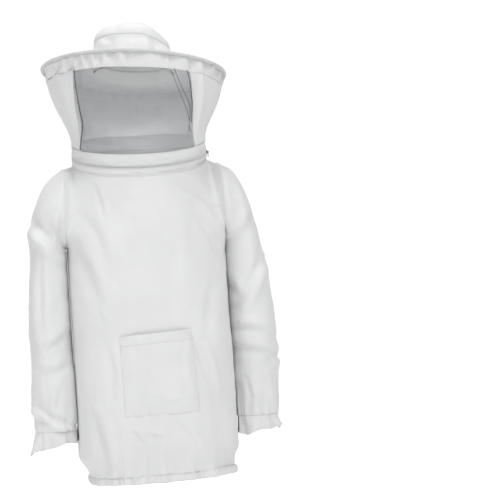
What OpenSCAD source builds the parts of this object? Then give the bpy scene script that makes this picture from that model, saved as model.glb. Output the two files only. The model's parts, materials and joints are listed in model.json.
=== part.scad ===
// Beekeeping smock jacket with a zip-on round veil hat.
// Millimetres, +Z up, front towards -Y. The origin is on the wearer's centre line at shoulder height.

/* [Cloth] */
// Thickness of every cloth wall
cloth_t = 2; // [1.6:0.2:2.4]

/* [Torso] */
// Half width of the body below the armholes
torso_half_w = 188; // [180:1:188]
// Half width at the elastic hem
hem_half_w = 168; // [150:1:176]
// Distance from the origin forward to the chest
chest_front = 143; // [138:1:148]
// Distance from the origin back to the shoulder blades
back_rear = 124; // [112:1:134]
// Height of the bottom of the hem below the origin
hem_drop = 756; // [720:1:780]
// Height of the elastic hem casing
hem_h = 17; // [14:1:22]

/* [Armhole] */
// Radius of the round armhole
armhole_r = 98; // [90:1:104]
// Height of the armhole centre, which is also the shoulder's swing axis
armhole_z = -100; // [-106:1:-94]
// Distance of the armhole centre behind the origin
armhole_y = 14; // [8:1:18]
// Distance of the armhole's plane from the centre line
armhole_x = 187; // [186:1:190]

/* [Collar and zip] */
// Radius of the round front half of the collar
collar_r = 161; // [152:1:164]
// Distance from the collar's centre to its flat back
collar_back = 88; // [80:1:96]
// Height of the stand-up collar band
collar_h = 20; // [18:1:30]
// Forward tilt of the collar and zip, in degrees
collar_tilt = 18; // [12:0.5:22]
// Height of the zip's centre above the origin
collar_z = 20; // [16:1:26]
// Width of each zip tape
tape_w = 10; // [8:0.5:12]
// Radius of the nylon coil bead on each tape
coil_r = 1.1; // [0.9:0.05:1.2]
// Angle that the slider travels round the front, in degrees
zip_travel = 176; // [150:1:178]

/* [Hat and veil] */
// Outer radius of the hat's brim
brim_r = 223; // [215:1:228]
// Height of the brim's centre above the origin
brim_z = 215; // [210:1:226]
// Upward tilt of the front of the brim, in degrees
brim_tilt = 3; // [0:0.5:5]
// Drop of the wearer's left side of the brim, in degrees
brim_roll = 5; // [0:0.5:7]
// Radius of the crown where it meets the brim
crown_r = 99; // [94:1:104]
// Height of the crown above the brim
crown_h = 116; // [100:1:124]
// Height of the white gathered band above the window
top_band_h = 32; // [26:1:38]
// Turn of the window away from the exact front, in degrees
window_turn = -6; // [-10:1:0]

/* [Sleeves] */
// Height of the elbow below the origin
elbow_drop = 350; // [340:1:360]
// Height of the cuff's end below the origin
cuff_drop = 664; // [650:1:680]

/* [Pocket] */
// Width of the patch pocket
pocket_w = 172; // [150:1:180]
// Height of the patch pocket
pocket_h = 198; // [180:1:210]
// Height of the pocket's mouth below the origin
pocket_top_drop = 408; // [390:1:420]
// How far the pocket's cloth stands off the jacket
pocket_gap = 11; // [10:0.5:14]

/* [Hidden] */

cloth_white = [0.93, 0.93, 0.93];
mesh_grey = [0.55, 0.56, 0.57];
zip_white = [0.88, 0.88, 0.88];
pull_dark = [0.16, 0.16, 0.17];
wire_steel = [0.6, 0.6, 0.62];
elastic_white = [0.84, 0.84, 0.82];

// Clearances
seam_gap = 0.6;
body_gap = 1.6;

// Grid counts of the cloth panels
panel_cols = 32;
armhole_rows = 10;
body_rows = 18;
ring_cols = 48;
sleeve_cols = 28;

// Zip layout. The coils lie each side of the ring's mid plane, with the slider's post between them.
coil_mid = coil_r + 1.1;
coil_ring_r = collar_r + 0.6;
band_edge = 4.5;
zip_start = -3;
slider_start = zip_start - 3;
slider_half = 2.6;
zip_end = slider_start - zip_travel - 3;
plate_in_r = collar_r - 1;
plate_out_r = collar_r + 2.3;
plate_t = 1.4;
bar_ring_r = plate_out_r + plate_t + 2;
bar_r = 0.8;
pull_len = 13;

// ---- functions ----
function lerp(a, b, t) = a + (b - a) * t;
function smooth(t) = let(c = min(1, max(0, t))) c * c * (3 - 2 * c);
function unit(v) = norm(v) < 1e-9 ? [0, 0, 0] : v / norm(v);
function mirror_x(p) = [-p[0], p[1], p[2]];

// Point of the collar's own frame, tilted forward, in the jacket's frame
function from_collar(p) = [p[0],
  armhole_y + p[1] * cos(collar_tilt) - p[2] * sin(collar_tilt),
  collar_z + p[1] * sin(collar_tilt) + p[2] * cos(collar_tilt)];

// Point of the hat's own frame in the jacket's frame: rolled about Y, then tilted about X
function from_hat(p) = let(
    x = p[0] * cos(brim_roll) + p[2] * sin(brim_roll),
    z = -p[0] * sin(brim_roll) + p[2] * cos(brim_roll))
  [x, p[1] * cos(brim_tilt) + z * sin(brim_tilt), brim_z - p[1] * sin(brim_tilt) + z * cos(brim_tilt)];

// Collar's plan: a half circle at the front and a flattened back
function neck_r(phi) = collar_r / (1 + pow(max(0, sin(phi)), 3) * (collar_r / collar_back - 1));
function neck_point(phi, z, grow = 0) = from_collar([
  (neck_r(phi) + grow) * cos(phi), (neck_r(phi) + grow) * sin(phi), z]);

// Faces of a thin wall between an outer and an inner grid, with its rims
function wall_faces(rows, cols, closed) = let(
    n = rows * cols,
    last = closed ? cols - 1 : cols - 2,
    at = function (i, j, k) k * n + i * cols + (j % cols))
  concat(
    [for (i = [0:rows - 2], j = [0:last]) each [
      [at(i, j, 0), at(i + 1, j, 0), at(i + 1, j + 1, 0)],
      [at(i, j, 0), at(i + 1, j + 1, 0), at(i, j + 1, 0)],
      [at(i, j, 1), at(i + 1, j + 1, 1), at(i + 1, j, 1)],
      [at(i, j, 1), at(i, j + 1, 1), at(i + 1, j + 1, 1)]]],
    [for (j = [0:last]) each [
      [at(0, j, 0), at(0, j + 1, 0), at(0, j + 1, 1)],
      [at(0, j, 0), at(0, j + 1, 1), at(0, j, 1)],
      [at(rows - 1, j, 0), at(rows - 1, j + 1, 1), at(rows - 1, j + 1, 0)],
      [at(rows - 1, j, 0), at(rows - 1, j, 1), at(rows - 1, j + 1, 1)]]],
    closed ? [] : [for (i = [0:rows - 2]) each [
      [at(i, 0, 0), at(i, 0, 1), at(i + 1, 0, 1)],
      [at(i, 0, 0), at(i + 1, 0, 1), at(i + 1, 0, 0)],
      [at(i, cols - 1, 0), at(i + 1, cols - 1, 1), at(i, cols - 1, 1)],
      [at(i, cols - 1, 0), at(i + 1, cols - 1, 0), at(i + 1, cols - 1, 1)]]]);

// Outward normal of a grid of points, from its neighbours
function grid_normal(g, i, j, closed) = let(
    rows = len(g), cols = len(g[0]),
    j0 = closed ? (j + cols - 1) % cols : max(0, j - 1),
    j1 = closed ? (j + 1) % cols : min(cols - 1, j + 1),
    i0 = max(0, i - 1), i1 = min(rows - 1, i + 1))
  unit(cross(g[i1][j] - g[i0][j], g[i][j1] - g[i][j0]));

function inset(g, t, closed) = [for (i = [0:len(g) - 1])
  [for (j = [0:len(g[0]) - 1]) g[i][j] - t * grid_normal(g, i, j, closed)]];

function flat_list(g) = [for (row = g, p = row) p];

// A cloth wall of thickness t behind the outer grid g
module cloth_wall(g, t, closed = false) {
  inner = inset(g, t, closed);
  wall_between(g, inner, closed);
}

module wall_between(outer, inner, closed = false) {
  polyhedron(concat(flat_list(outer), flat_list(inner)),
    wall_faces(len(outer), len(outer[0]), closed), convexity = 8);
}

// ---- torso ----
// Half width and front and rear depth of the body at height z
function side_x(z) = z > armhole_z - armhole_r ? armhole_x : let(
    t = (armhole_z - armhole_r - z) / (hem_drop - hem_h + armhole_z - armhole_r))
  lerp(lerp(armhole_x, torso_half_w, smooth(t * 4)), hem_half_w, smooth((t - 0.9) / 0.1));
function front_y(z) = -lerp(chest_front, chest_front - 16, smooth((-z - hem_drop + 90) / 70));
function rear_y(z) = lerp(
  lerp(back_rear - 16, back_rear, smooth(-z / 160)), back_rear - 12, smooth((-z - hem_drop + 90) / 70));
function armhole_depth(z) = abs(z - armhole_z) < armhole_r ? sqrt(pow(armhole_r, 2) - pow(z - armhole_z, 2)) : 0;
// The panels are flatter beside the armholes than below them
function swell_power(z) = lerp(1 / 2.4, 0.52, pow(armhole_depth(z) / armhole_r, 2));
row_z = concat(
  [for (k = [0:armhole_rows]) armhole_z + armhole_r * cos(180 * k / armhole_rows)],
  [for (k = [1:body_rows]) lerp(armhole_z - armhole_r, -hem_drop + hem_h, k / body_rows)]);

// Plain body surface: side = -1 for the front, 1 for the back
function body_point(side, u, z) = let(
    across = -cos(180 * u),
    edge_y = armhole_y + side * (armhole_depth(z) + seam_gap / 2),
    mid_y = side < 0 ? front_y(z) : rear_y(z),
    bulge = pow(1 - pow(abs(across), 2.4), swell_power(z)))
  [side_x(z) * across, lerp(edge_y, mid_y, bulge), z];

// Top edge of a panel: shoulder seam, neck, shoulder seam
shoulder_cols = 4;
function top_edge(side, j) = let(
    arc = (j - shoulder_cols) / (panel_cols - 2 * shoulder_cols),
    left_neck = neck_point(180, -collar_h - seam_gap),
    right_neck = mirror_x(left_neck),
    tip_y = armhole_y + side * seam_gap / 2,
    tip_z = armhole_z + armhole_r)
  j < shoulder_cols ? lerp([-armhole_x, tip_y, tip_z], left_neck + [0, side * seam_gap / 2, 0], j / shoulder_cols)
  : j > panel_cols - shoulder_cols ?
    lerp([armhole_x, tip_y, tip_z], right_neck + [0, side * seam_gap / 2, 0], (panel_cols - j) / shoulder_cols)
  : neck_point(180 + side * -180 * arc, -collar_h - seam_gap) + [0, side * seam_gap / 2, 0];

function body_grid(side) = [for (i = [0:len(row_z) - 1])
  let(z = row_z[i], fade = 1 - smooth(i / (armhole_rows + 1)))
  [for (j = [0:panel_cols]) let(u = j / panel_cols)
    body_point(side, u, z) + fade * (top_edge(side, j) - body_point(side, u, row_z[0]))]];

// The panel's inner grid stays between the armholes and on its own side of the side and shoulder seams
function body_inner(side, g) = let(inner = inset(g, side < 0 ? cloth_t : -cloth_t, false))
  [for (row = inner) [for (p = row)
    [max(-armhole_x, min(armhole_x, p[0])),
     side < 0 ? min(p[1], armhole_y - seam_gap / 2) : max(p[1], armhole_y + seam_gap / 2), p[2]]]];

module body_panel(side) {
  g = body_grid(side);
  inner = body_inner(side, g);
  if (side < 0) {
    wall_between(g, inner);
  } else {
    wall_between(inner, g);
  }
}

module front_body_panel() {
  color(cloth_white) body_panel(-1);
}

module back_body_panel() {
  color(cloth_white) body_panel(1);
}

// ---- hem ----
// Point of the hem's plan at angle a and height z, standing out by grow
function hem_point(a, z, grow) = let(
    half_y = sin(a) < 0 ? armhole_y + chest_front - 16 : back_rear - 12 - armhole_y,
    k = pow(pow(abs(cos(a)), 2.4) + pow(abs(sin(a)), 2.4), -1 / 2.4))
  [(hem_half_w + grow) * cos(a) * k, armhole_y + (half_y + grow) * sin(a) * k, z];

// Band swept round the hem. The profile is a closed loop of [grow, z] points, clockwise with grow to the right.
module hem_sweep(profile) {
  m = len(profile);
  at = function (j, k) (j % ring_cols) * m + k % m;
  polyhedron(
    [for (j = [0:ring_cols - 1], p = profile) hem_point(360 * j / ring_cols, p[1], p[0])],
    [for (j = [0:ring_cols - 1], k = [0:m - 1]) each [
      [at(j, k), at(j, k + 1), at(j + 1, k + 1)],
      [at(j, k), at(j + 1, k + 1), at(j + 1, k)]]],
    convexity = 8);
}

// The casing is the turned-up hem: an outer and an inner layer with the elastic between them
module hem_casing() {
  low = -hem_drop;
  high = -hem_drop + hem_h - seam_gap;
  color(cloth_white)
    hem_sweep([[1.5, low], [-4.5, low], [-4.5, high], [-3, high],
      [-3, low + 2.5], [0, low + 2.5], [0, high], [1.5, high]]);
}

module hem_elastic() {
  low = -hem_drop + 4;
  high = -hem_drop + hem_h - 2;
  color(elastic_white) hem_sweep([[-0.8, low], [-2.2, low], [-2.2, high], [-0.8, high]]);
}

// ---- pocket ----
// A patch on the front, sewn down at its sides and bottom and open at its top
pocket_cols = 12;
pocket_rows = 10;
function pocket_front(x, z) = let(across = min(1, abs(x) / side_x(z)))
  lerp(armhole_y - seam_gap / 2, front_y(z), pow(1 - pow(across, 2.4), 1 / 2.4));
function pocket_point(i, j) = let(
    s = j / pocket_cols * 2 - 1,
    v = i / pocket_rows,
    x = s * pocket_w / 2,
    z = -pocket_top_drop - v * pocket_h,
    lift = pocket_gap * pow(1 - pow(abs(s), 4), 0.5) * pow(1 - pow(v, 6), 0.5))
  [x, pocket_front(x, z) - cloth_t - 0.4 - lift, z];
pocket_grid = [for (i = [0:pocket_rows]) [for (j = [0:pocket_cols]) pocket_point(i, j)]];

module front_pocket() {
  behind = [for (row = pocket_grid) [for (p = row) p + [0, cloth_t, 0]]];
  color(cloth_white) wall_between(pocket_grid, behind);
}

// The turned hem along the pocket's mouth
module pocket_mouth_hem() {
  rows = [0, 1];
  outer = [for (i = rows) [for (j = [1:pocket_cols - 1]) pocket_grid[i][j] - [0, 0.3, 0]]];
  inner = [for (row = outer) [for (p = row) p + [0, -1.2, 0]]];
  color(cloth_white) wall_between(inner, outer);
}

// ---- collar and zip ----
module in_collar_frame() {
  translate([0, armhole_y, collar_z])
    rotate([collar_tilt, 0, 0])
      children();
}

function band_grid(z_high, z_low) = [for (z = [z_high, (z_high + z_low) / 2, z_low])
  [for (j = [0:2 * ring_cols - 1]) neck_point(180 * j / ring_cols, z)]];
function band_inner(z_high, z_low, t) = [for (z = [z_high, (z_high + z_low) / 2, z_low])
  [for (j = [0:2 * ring_cols - 1]) neck_point(180 * j / ring_cols, z, -t)]];

module collar_band() {
  color(cloth_white)
    wall_between(band_inner(-band_edge, -collar_h, cloth_t), band_grid(-band_edge, -collar_h), true);
}

// Arc of a ring about the zip's axis, from angle a0 back to a1
module ring_arc(r_in, r_out, z_low, z_high, a_low, a_high) {
  rotate([0, 0, a_low])
    rotate_extrude(angle = a_high - a_low, $fn = 180)
      translate([r_in, z_low])
        square([r_out - r_in, z_high - z_low]);
}

module zip_tape(side) {
  low = side > 0 ? coil_mid + coil_r + 0.2 : -coil_mid - coil_r - 0.2 - tape_w;
  in_collar_frame()
    ring_arc(collar_r + 0.2, collar_r + 1, low, low + tape_w, zip_end, zip_start);
}

module zip_coil(side) {
  in_collar_frame()
    rotate([0, 0, zip_end])
      rotate_extrude(angle = zip_start - zip_end, $fn = 180)
        translate([coil_ring_r, side * coil_mid])
          circle(r = coil_r, $fn = 24);
}

// A crimped stop at each end of a coil
module zip_stops(side) {
  low = side > 0 ? coil_mid - coil_r + 0.1 : -coil_mid - coil_r - 0.1;
  in_collar_frame()
    for (a = [zip_start + 0.15, zip_end - 0.95])
      ring_arc(collar_r - 0.8, collar_r + 1.9, low, low + 2 * coil_r, a, a + 0.8);
}

module zip_tape_lower() {
  color(zip_white) zip_tape(-1);
}

module zip_tape_upper() {
  color(zip_white) zip_tape(1);
}

module zip_coil_lower() {
  color(zip_white) zip_coil(-1);
}

module zip_coil_upper() {
  color(zip_white) zip_coil(1);
}

module zip_stops_lower() {
  color(pull_dark) zip_stops(-1);
}

module zip_stops_upper() {
  color(pull_dark) zip_stops(1);
}

// Slider at rest: two plates joined by a post between the coils, with a crown bar for the pull
module zip_slider_body() {
  color(pull_dark)
    in_collar_frame() {
      ring_arc(plate_in_r - plate_t, plate_in_r, -3.8, 3.8, slider_start - slider_half, slider_start + slider_half);
      ring_arc(plate_out_r, plate_out_r + plate_t, -5, 5, slider_start - slider_half, slider_start + slider_half);
      ring_arc(plate_in_r - 0.2, plate_out_r + 0.2, -0.75, 0.75, slider_start + 1.2, slider_start + slider_half);
      rotate([0, 0, slider_start])
        for (y = [-5.2, 4])
          translate([plate_out_r + 0.4, y, -1])
            cube([bar_ring_r - plate_out_r + 0.4, 1.2, 2]);
      rotate([0, 0, slider_start])
        translate([bar_ring_r, -4.6, 0])
          rotate([-90, 0, 0])
            cylinder(h = 9.2, r = bar_r, $fn = 24);
    }
}

// The pull hangs from the crown bar
module zip_pull_tab() {
  color(pull_dark)
    in_collar_frame()
      rotate([0, 0, slider_start])
        translate([bar_ring_r, 0, 0])
          difference() {
            union() {
              rotate([-90, 0, 0])
                translate([0, 0, -3.4])
                  cylinder(h = 6.8, r = 1.7, $fn = 32);
              translate([-0.7, -3.4, -pull_len + 3.4])
                cube([1.4, 6.8, pull_len - 3.4]);
              translate([-0.7, 0, -pull_len + 3.4])
                rotate([0, 90, 0])
                  cylinder(h = 1.4, r = 3.4, $fn = 32);
            }
            rotate([-90, 0, 0])
              translate([0, 0, -4])
                cylinder(h = 8, r = bar_r + 0.25, $fn = 32);
            translate([-1, 0, -pull_len + 4])
              rotate([0, 90, 0])
                cylinder(h = 2, r = 1.5, $fn = 32);
          }
}

// ---- veil ----
veil_base_h = 26;
veil_top_r = 210;
veil_hang = 7;
// Half angle of the window: wide at the bottom, narrow at the top
function window_half(v) = lerp(57, 39, v);
function veil_point(phi, v) = lerp(
  neck_point(phi, band_edge + veil_base_h + seam_gap),
  from_hat([veil_top_r * cos(phi), veil_top_r * sin(phi), -veil_hang]), v);
veil_slant = 230;
window_top = 1 - top_band_h / veil_slant;
veil_rows = 9;
window_cols = 18;
side_cols = 20;

module veil_base_band() {
  color(cloth_white)
    wall_between(band_inner(band_edge + veil_base_h, band_edge, cloth_t),
      band_grid(band_edge + veil_base_h, band_edge), true);
}

// A strip of the veil between two angles, each a function of height
function veil_grid(from, to, cols, v_low, v_high, rows) = [for (i = [0:rows])
  let(v = lerp(v_high, v_low, i / rows))
  [for (j = [0:cols]) veil_point(lerp(from(v), to(v), j / cols), v)]];

module veil_mesh_window() {
  g = veil_grid(function (v) window_turn - 90 - window_half(v), function (v) window_turn - 90 + window_half(v),
    window_cols, 0, window_top, veil_rows);
  color(mesh_grey) cloth_wall(g, 1);
}

module veil_left_panel() {
  g = veil_grid(function (v) window_turn - 90 + window_half(v) + 0.3, function (v) window_turn + 89.8,
    side_cols, 0, window_top, veil_rows);
  color(cloth_white) cloth_wall(g, cloth_t);
}

module veil_right_panel() {
  g = veil_grid(function (v) window_turn + 90.2, function (v) window_turn + 270 - window_half(v) - 0.3,
    side_cols, 0, window_top, veil_rows);
  color(cloth_white) cloth_wall(g, cloth_t);
}

module veil_top_band() {
  rows = 3;
  g = [for (i = [0:rows]) let(v = lerp(1, window_top + 0.004, i / rows))
    [for (j = [0:ring_cols - 1]) veil_point(360 * j / ring_cols, v)]];
  color(cloth_white) cloth_wall(g, cloth_t, true);
}

// ---- hat ----
binding_r = 4.2;
wire_r = 1.5;
brim_cloth_t = 1.6;
brim_out_r = brim_r - binding_r;

module in_hat_frame() {
  translate([0, 0, brim_z])
    rotate([-brim_tilt, 0, 0])
      rotate([0, brim_roll, 0])
        children();
}

// One layer of the brim's cloth, from the crown to the rim's binding
module brim_layer(z_low) {
  in_hat_frame()
    rotate_extrude($fn = 120)
      translate([crown_r, z_low])
        square([brim_out_r - binding_r - 0.3 - crown_r, brim_cloth_t]);
}

module brim_top_cloth() {
  color(cloth_white) brim_layer(0.2);
}

module brim_under_cloth() {
  color(cloth_white) brim_layer(-brim_cloth_t - 0.2);
}

module brim_wire_hoop() {
  color(wire_steel)
    in_hat_frame()
      rotate_extrude($fn = 120)
        translate([brim_out_r, 0])
          circle(r = wire_r, $fn = 24);
}

module brim_rim_binding() {
  color(cloth_white)
    in_hat_frame()
      rotate_extrude($fn = 120)
        translate([brim_out_r, 0])
          difference() {
            circle(r = binding_r, $fn = 32);
            circle(r = wire_r + 0.3, $fn = 32);
          }
}

// Crown: a side wall that leans in, and a domed top panel
crown_top_r = 95;
crown_side_h = crown_h * 0.6;
crown_z0 = 2.4;

module crown_side() {
  color(cloth_white)
    in_hat_frame()
      rotate_extrude($fn = 96)
        polygon([[crown_r - 1, crown_z0], [crown_r + 1, crown_z0],
          [crown_top_r + 1.2, crown_side_h], [crown_top_r - 0.8, crown_side_h]]);
}

module crown_top() {
  dome = crown_h - crown_side_h - 0.4;
  sphere_r = (pow(crown_top_r, 2) + pow(dome, 2)) / (2 * dome);
  color(cloth_white)
    in_hat_frame()
      translate([0, 0, crown_side_h + 0.4])
        intersection() {
          translate([0, 0, dome - sphere_r])
            difference() {
              sphere(r = sphere_r, $fn = 96);
              sphere(r = sphere_r - cloth_t, $fn = 96);
            }
          cylinder(h = dome + 1, r = crown_top_r + 5, $fn = 96);
        }
}

module hat_sweatband() {
  color(elastic_white)
    in_hat_frame()
      rotate_extrude($fn = 96)
        translate([crown_r - 7, -4])
          square([2, 30]);
}

// ---- sleeves ----
// Each station: inner x and z, outer x and z, half depth. The armhole comes first.
upper_stations = [
  [armhole_x + body_gap, armhole_z - armhole_r, armhole_x + body_gap, armhole_z + armhole_r, armhole_r],
  [armhole_x + body_gap + 0.6, -200, 214, -20, 97],
  [armhole_x + body_gap + 1.2, -204, 240, -54, 91],
  [armhole_x + body_gap + 1.6, -209, 260, -103, 82],
  [armhole_x + body_gap + 2, -216, 272, -156, 76],
  [armhole_x + body_gap + 2.4, -228, 280, -205, 71],
  [armhole_x + body_gap + 2.6, -264, 287, -255, 69],
  [armhole_x + body_gap + 2.8, -305, 293, -300, 68],
  [armhole_x + body_gap + 3, -elbow_drop, 298, -elbow_drop, 66]];
wrist_drop = cuff_drop - 38;
forearm_stations = [
  [armhole_x + body_gap + 3, -elbow_drop - body_gap, 298, -elbow_drop - body_gap, 66],
  [armhole_x + body_gap + 3.4, -400, 301, -402, 64.5],
  [armhole_x + body_gap + 4, -470, 301, -475, 61],
  [armhole_x + body_gap + 4.4, -540, 298, -545, 57],
  [armhole_x + body_gap + 5, -600, 292, -602, 53],
  [armhole_x + body_gap + 8, -wrist_drop, 287, -wrist_drop, 48]];
cuff_stations = [
  [armhole_x + body_gap + 8, -wrist_drop - seam_gap, 287, -wrist_drop - seam_gap, 48],
  [armhole_x + body_gap + 6, -wrist_drop - 18, 291, -wrist_drop - 18, 50],
  [armhole_x + body_gap + 4, -cuff_drop, 297, -cuff_drop, 53]];

function station_ring(s) = [for (j = [0:sleeve_cols - 1]) let(a = 360 * j / sleeve_cols)
  [(s[0] + s[2]) / 2 - (s[2] - s[0]) / 2 * cos(a), armhole_y - s[4] * sin(a),
   (s[1] + s[3]) / 2 - (s[3] - s[1]) / 2 * cos(a)]];

// A smaller copy of a station's ring, t inside it
function station_inset(s, t) = let(len_io = norm([s[2] - s[0], s[3] - s[1]]), k = t / len_io)
  [s[0] + (s[2] - s[0]) * k, s[1] + (s[3] - s[1]) * k,
   s[2] - (s[2] - s[0]) * k, s[3] - (s[3] - s[1]) * k, s[4] - t];

module sleeve_tube(stations, t) {
  outer = [for (s = stations) station_ring(s)];
  inner = [for (s = stations) station_ring(station_inset(s, t))];
  wall_between(outer, inner, true);
}

// The left sleeve is on the wearer's left, at +X
module on_side(side) {
  if (side > 0) {
    children();
  } else {
    mirror([1, 0, 0])
      children();
  }
}

module upper_sleeve(side) {
  color(cloth_white) on_side(side) sleeve_tube(upper_stations, cloth_t);
}

module forearm_sleeve(side) {
  color(cloth_white) on_side(side) sleeve_tube(forearm_stations, cloth_t);
}

module cuff(side) {
  color(cloth_white) on_side(side) sleeve_tube(cuff_stations, cloth_t);
}

// Elastic band inside the wrist
module cuff_elastic(side) {
  low = [armhole_x + body_gap + 8, -wrist_drop + 2, 287, -wrist_drop + 2, 48];
  high = [armhole_x + body_gap + 8, -wrist_drop + 14, 287, -wrist_drop + 14, 48];
  color(elastic_white)
    on_side(side)
      sleeve_tube([station_inset(high, cloth_t + 1.5), station_inset(low, cloth_t + 1.5)], 1.4);
}

module left_upper_sleeve() {
  upper_sleeve(1);
}

module left_forearm_sleeve() {
  forearm_sleeve(1);
}

module left_cuff() {
  cuff(1);
}

module left_cuff_elastic() {
  cuff_elastic(1);
}

module right_upper_sleeve() {
  upper_sleeve(-1);
}

module right_forearm_sleeve() {
  forearm_sleeve(-1);
}

module right_cuff() {
  cuff(-1);
}

module right_cuff_elastic() {
  cuff_elastic(-1);
}

front_body_panel();
back_body_panel();
hem_casing();
hem_elastic();
front_pocket();
pocket_mouth_hem();
collar_band();
zip_tape_lower();
zip_coil_lower();
zip_stops_lower();
zip_tape_upper();
zip_coil_upper();
zip_stops_upper();
zip_slider_body();
zip_pull_tab();
veil_base_band();
veil_mesh_window();
veil_left_panel();
veil_right_panel();
veil_top_band();
brim_top_cloth();
brim_under_cloth();
brim_wire_hoop();
brim_rim_binding();
crown_side();
crown_top();
hat_sweatband();
left_upper_sleeve();
left_forearm_sleeve();
left_cuff();
left_cuff_elastic();
right_upper_sleeve();
right_forearm_sleeve();
right_cuff();
right_cuff_elastic();
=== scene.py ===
"""Beekeeping jacket: the looks around the CAD frame. Metres, +Z up, front towards -Y."""
import json
import math

import bpy
import numpy as np
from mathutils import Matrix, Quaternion, Vector

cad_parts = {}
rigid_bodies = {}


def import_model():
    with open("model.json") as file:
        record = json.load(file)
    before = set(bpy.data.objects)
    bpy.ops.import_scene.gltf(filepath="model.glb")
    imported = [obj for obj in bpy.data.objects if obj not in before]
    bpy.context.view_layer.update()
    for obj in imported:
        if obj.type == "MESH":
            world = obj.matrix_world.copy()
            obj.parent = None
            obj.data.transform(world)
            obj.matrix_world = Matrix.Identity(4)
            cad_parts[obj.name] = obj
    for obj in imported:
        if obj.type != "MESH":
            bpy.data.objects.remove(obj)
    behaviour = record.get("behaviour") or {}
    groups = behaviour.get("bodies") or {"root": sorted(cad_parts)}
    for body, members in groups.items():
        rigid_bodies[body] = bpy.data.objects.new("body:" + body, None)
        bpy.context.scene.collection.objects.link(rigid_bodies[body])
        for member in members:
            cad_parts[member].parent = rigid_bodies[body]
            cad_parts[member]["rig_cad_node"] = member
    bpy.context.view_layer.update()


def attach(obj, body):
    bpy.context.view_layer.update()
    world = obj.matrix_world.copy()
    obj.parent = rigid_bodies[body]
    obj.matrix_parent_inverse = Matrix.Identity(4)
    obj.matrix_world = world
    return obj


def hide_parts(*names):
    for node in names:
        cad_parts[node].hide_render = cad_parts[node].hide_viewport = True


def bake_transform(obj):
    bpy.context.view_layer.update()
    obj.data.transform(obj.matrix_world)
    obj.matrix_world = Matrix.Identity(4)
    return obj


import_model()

# ---- driving sizes, as in the CAD part ----
ARMHOLE_X, ARMHOLE_Y, ARMHOLE_Z, ARMHOLE_R = 0.187, 0.014, -0.100, 0.098
TORSO_HALF_W, HEM_HALF_W = 0.188, 0.168
CHEST_FRONT, BACK_REAR = 0.143, 0.124
HEM_DROP, HEM_H = 0.756, 0.017
COLLAR_R, COLLAR_BACK, COLLAR_H, COLLAR_Z = 0.161, 0.088, 0.020, 0.020
COLLAR_TILT = math.radians(18)
BAND_EDGE, VEIL_BASE_H, SEAM_GAP = 0.0045, 0.026, 0.0006
BRIM_R, BRIM_Z = 0.223, 0.215
BRIM_TILT, BRIM_ROLL = math.radians(3), math.radians(5)
BINDING_R = 0.0042
CROWN_R, CROWN_TOP_R, CROWN_H = 0.099, 0.095, 0.116
VEIL_TOP_R, VEIL_SLANT, TOP_BAND_H = 0.210, 0.230, 0.032
WINDOW_TURN, WINDOW_HALF_LOW, WINDOW_HALF_HIGH = -6, 57, 39
WINDOW_CENTRE = math.radians(WINDOW_TURN - 90)
WINDOW_TOP = 1 - TOP_BAND_H / VEIL_SLANT
WRIST_Z = -0.626
POCKET_W, POCKET_H, POCKET_TOP = 0.172, 0.198, -0.408
ROUNDNESS = 2.4
TORSO_CENTRE, NECK_CENTRE = (0, ARMHOLE_Y, -0.3), (0, ARMHOLE_Y, COLLAR_Z)
HEM_IN_FRONT, HEM_IN_BACK = 0.016, 0.012  # how far the elastic draws the hem in
ZIP_TRAVEL = 176
TAU = 2 * math.pi


# ---- small helpers ----
def lerp(a, b, t):
    return a + (b - a) * t


def smooth(t):
    c = np.clip(t, 0, 1)
    return c * c * (3 - 2 * c)


def bump(t, centre, width):
    return np.exp(-((t - centre) / width) ** 2)


LATTICE = 32


def noise(points, size, seed):
    """Smooth noise from -1 to 1 over points of 2 or 3 coordinates, with features of the given size."""
    points = np.asarray(points, float)
    if points.shape[-1] == 2:
        points = np.concatenate([points, np.zeros(points.shape[:-1] + (1,))], -1)
    lattice = np.random.default_rng(seed).uniform(-1, 1, (LATTICE,) * 3)
    q = points / size + 11.3
    cell = np.floor(q).astype(int)
    f = q - cell
    f = f * f * f * (f * (6 * f - 15) + 10)
    total = np.zeros(points.shape[:-1])
    for corner in np.ndindex(2, 2, 2):
        weight = np.ones_like(total)
        for axis, side in enumerate(corner):
            weight = weight * (f[..., axis] if side else 1 - f[..., axis])
        i, j, k = np.moveaxis((cell + corner) % LATTICE, -1, 0)
        total += weight * lattice[i, j, k]
    return total


def pleats(along, size, seed):
    """Rounded pleats from -1 to 1 along a line: smooth noise whose crests are broad and valleys narrow."""
    n = noise(np.stack([along, np.full_like(along, 0.37 * seed)], -1), size, seed) * 1.6
    return 1 - 2 * np.abs(np.clip(n, -1, 1)) ** 0.8


def crease(x, z, path, depth, width, lip=0.55):
    """Height of a soft crease along a path of (x, z) points: a valley with a rounded lip on its left."""
    nearest = np.full(np.shape(x), 9.0)
    signed = np.zeros(np.shape(x))
    along = np.zeros(np.shape(x))
    for k, ((x0, z0), (x1, z1)) in enumerate(zip(path, path[1:])):
        dx, dz = x1 - x0, z1 - z0
        t = np.clip(((x - x0) * dx + (z - z0) * dz) / (dx * dx + dz * dz), 0, 1)
        d = np.hypot(x - x0 - t * dx, z - z0 - t * dz)
        side = np.sign(dx * (z - z0) - dz * (x - x0))
        closer = d < nearest
        nearest = np.where(closer, d, nearest)
        signed = np.where(closer, d * side, signed)
        along = np.where(closer, (k + t) / (len(path) - 1), along)
    taper = np.sin(math.pi * (0.06 + 0.88 * along)) ** 0.7
    valley = -np.exp(-(signed / width) ** 2)
    ridge = lip * np.exp(-((signed - 1.7 * width) / (1.2 * width)) ** 2)
    return depth * taper * (valley + ridge)


def creases(x, z, listed):
    return sum(crease(x, z, *one) for one in listed)


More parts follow.
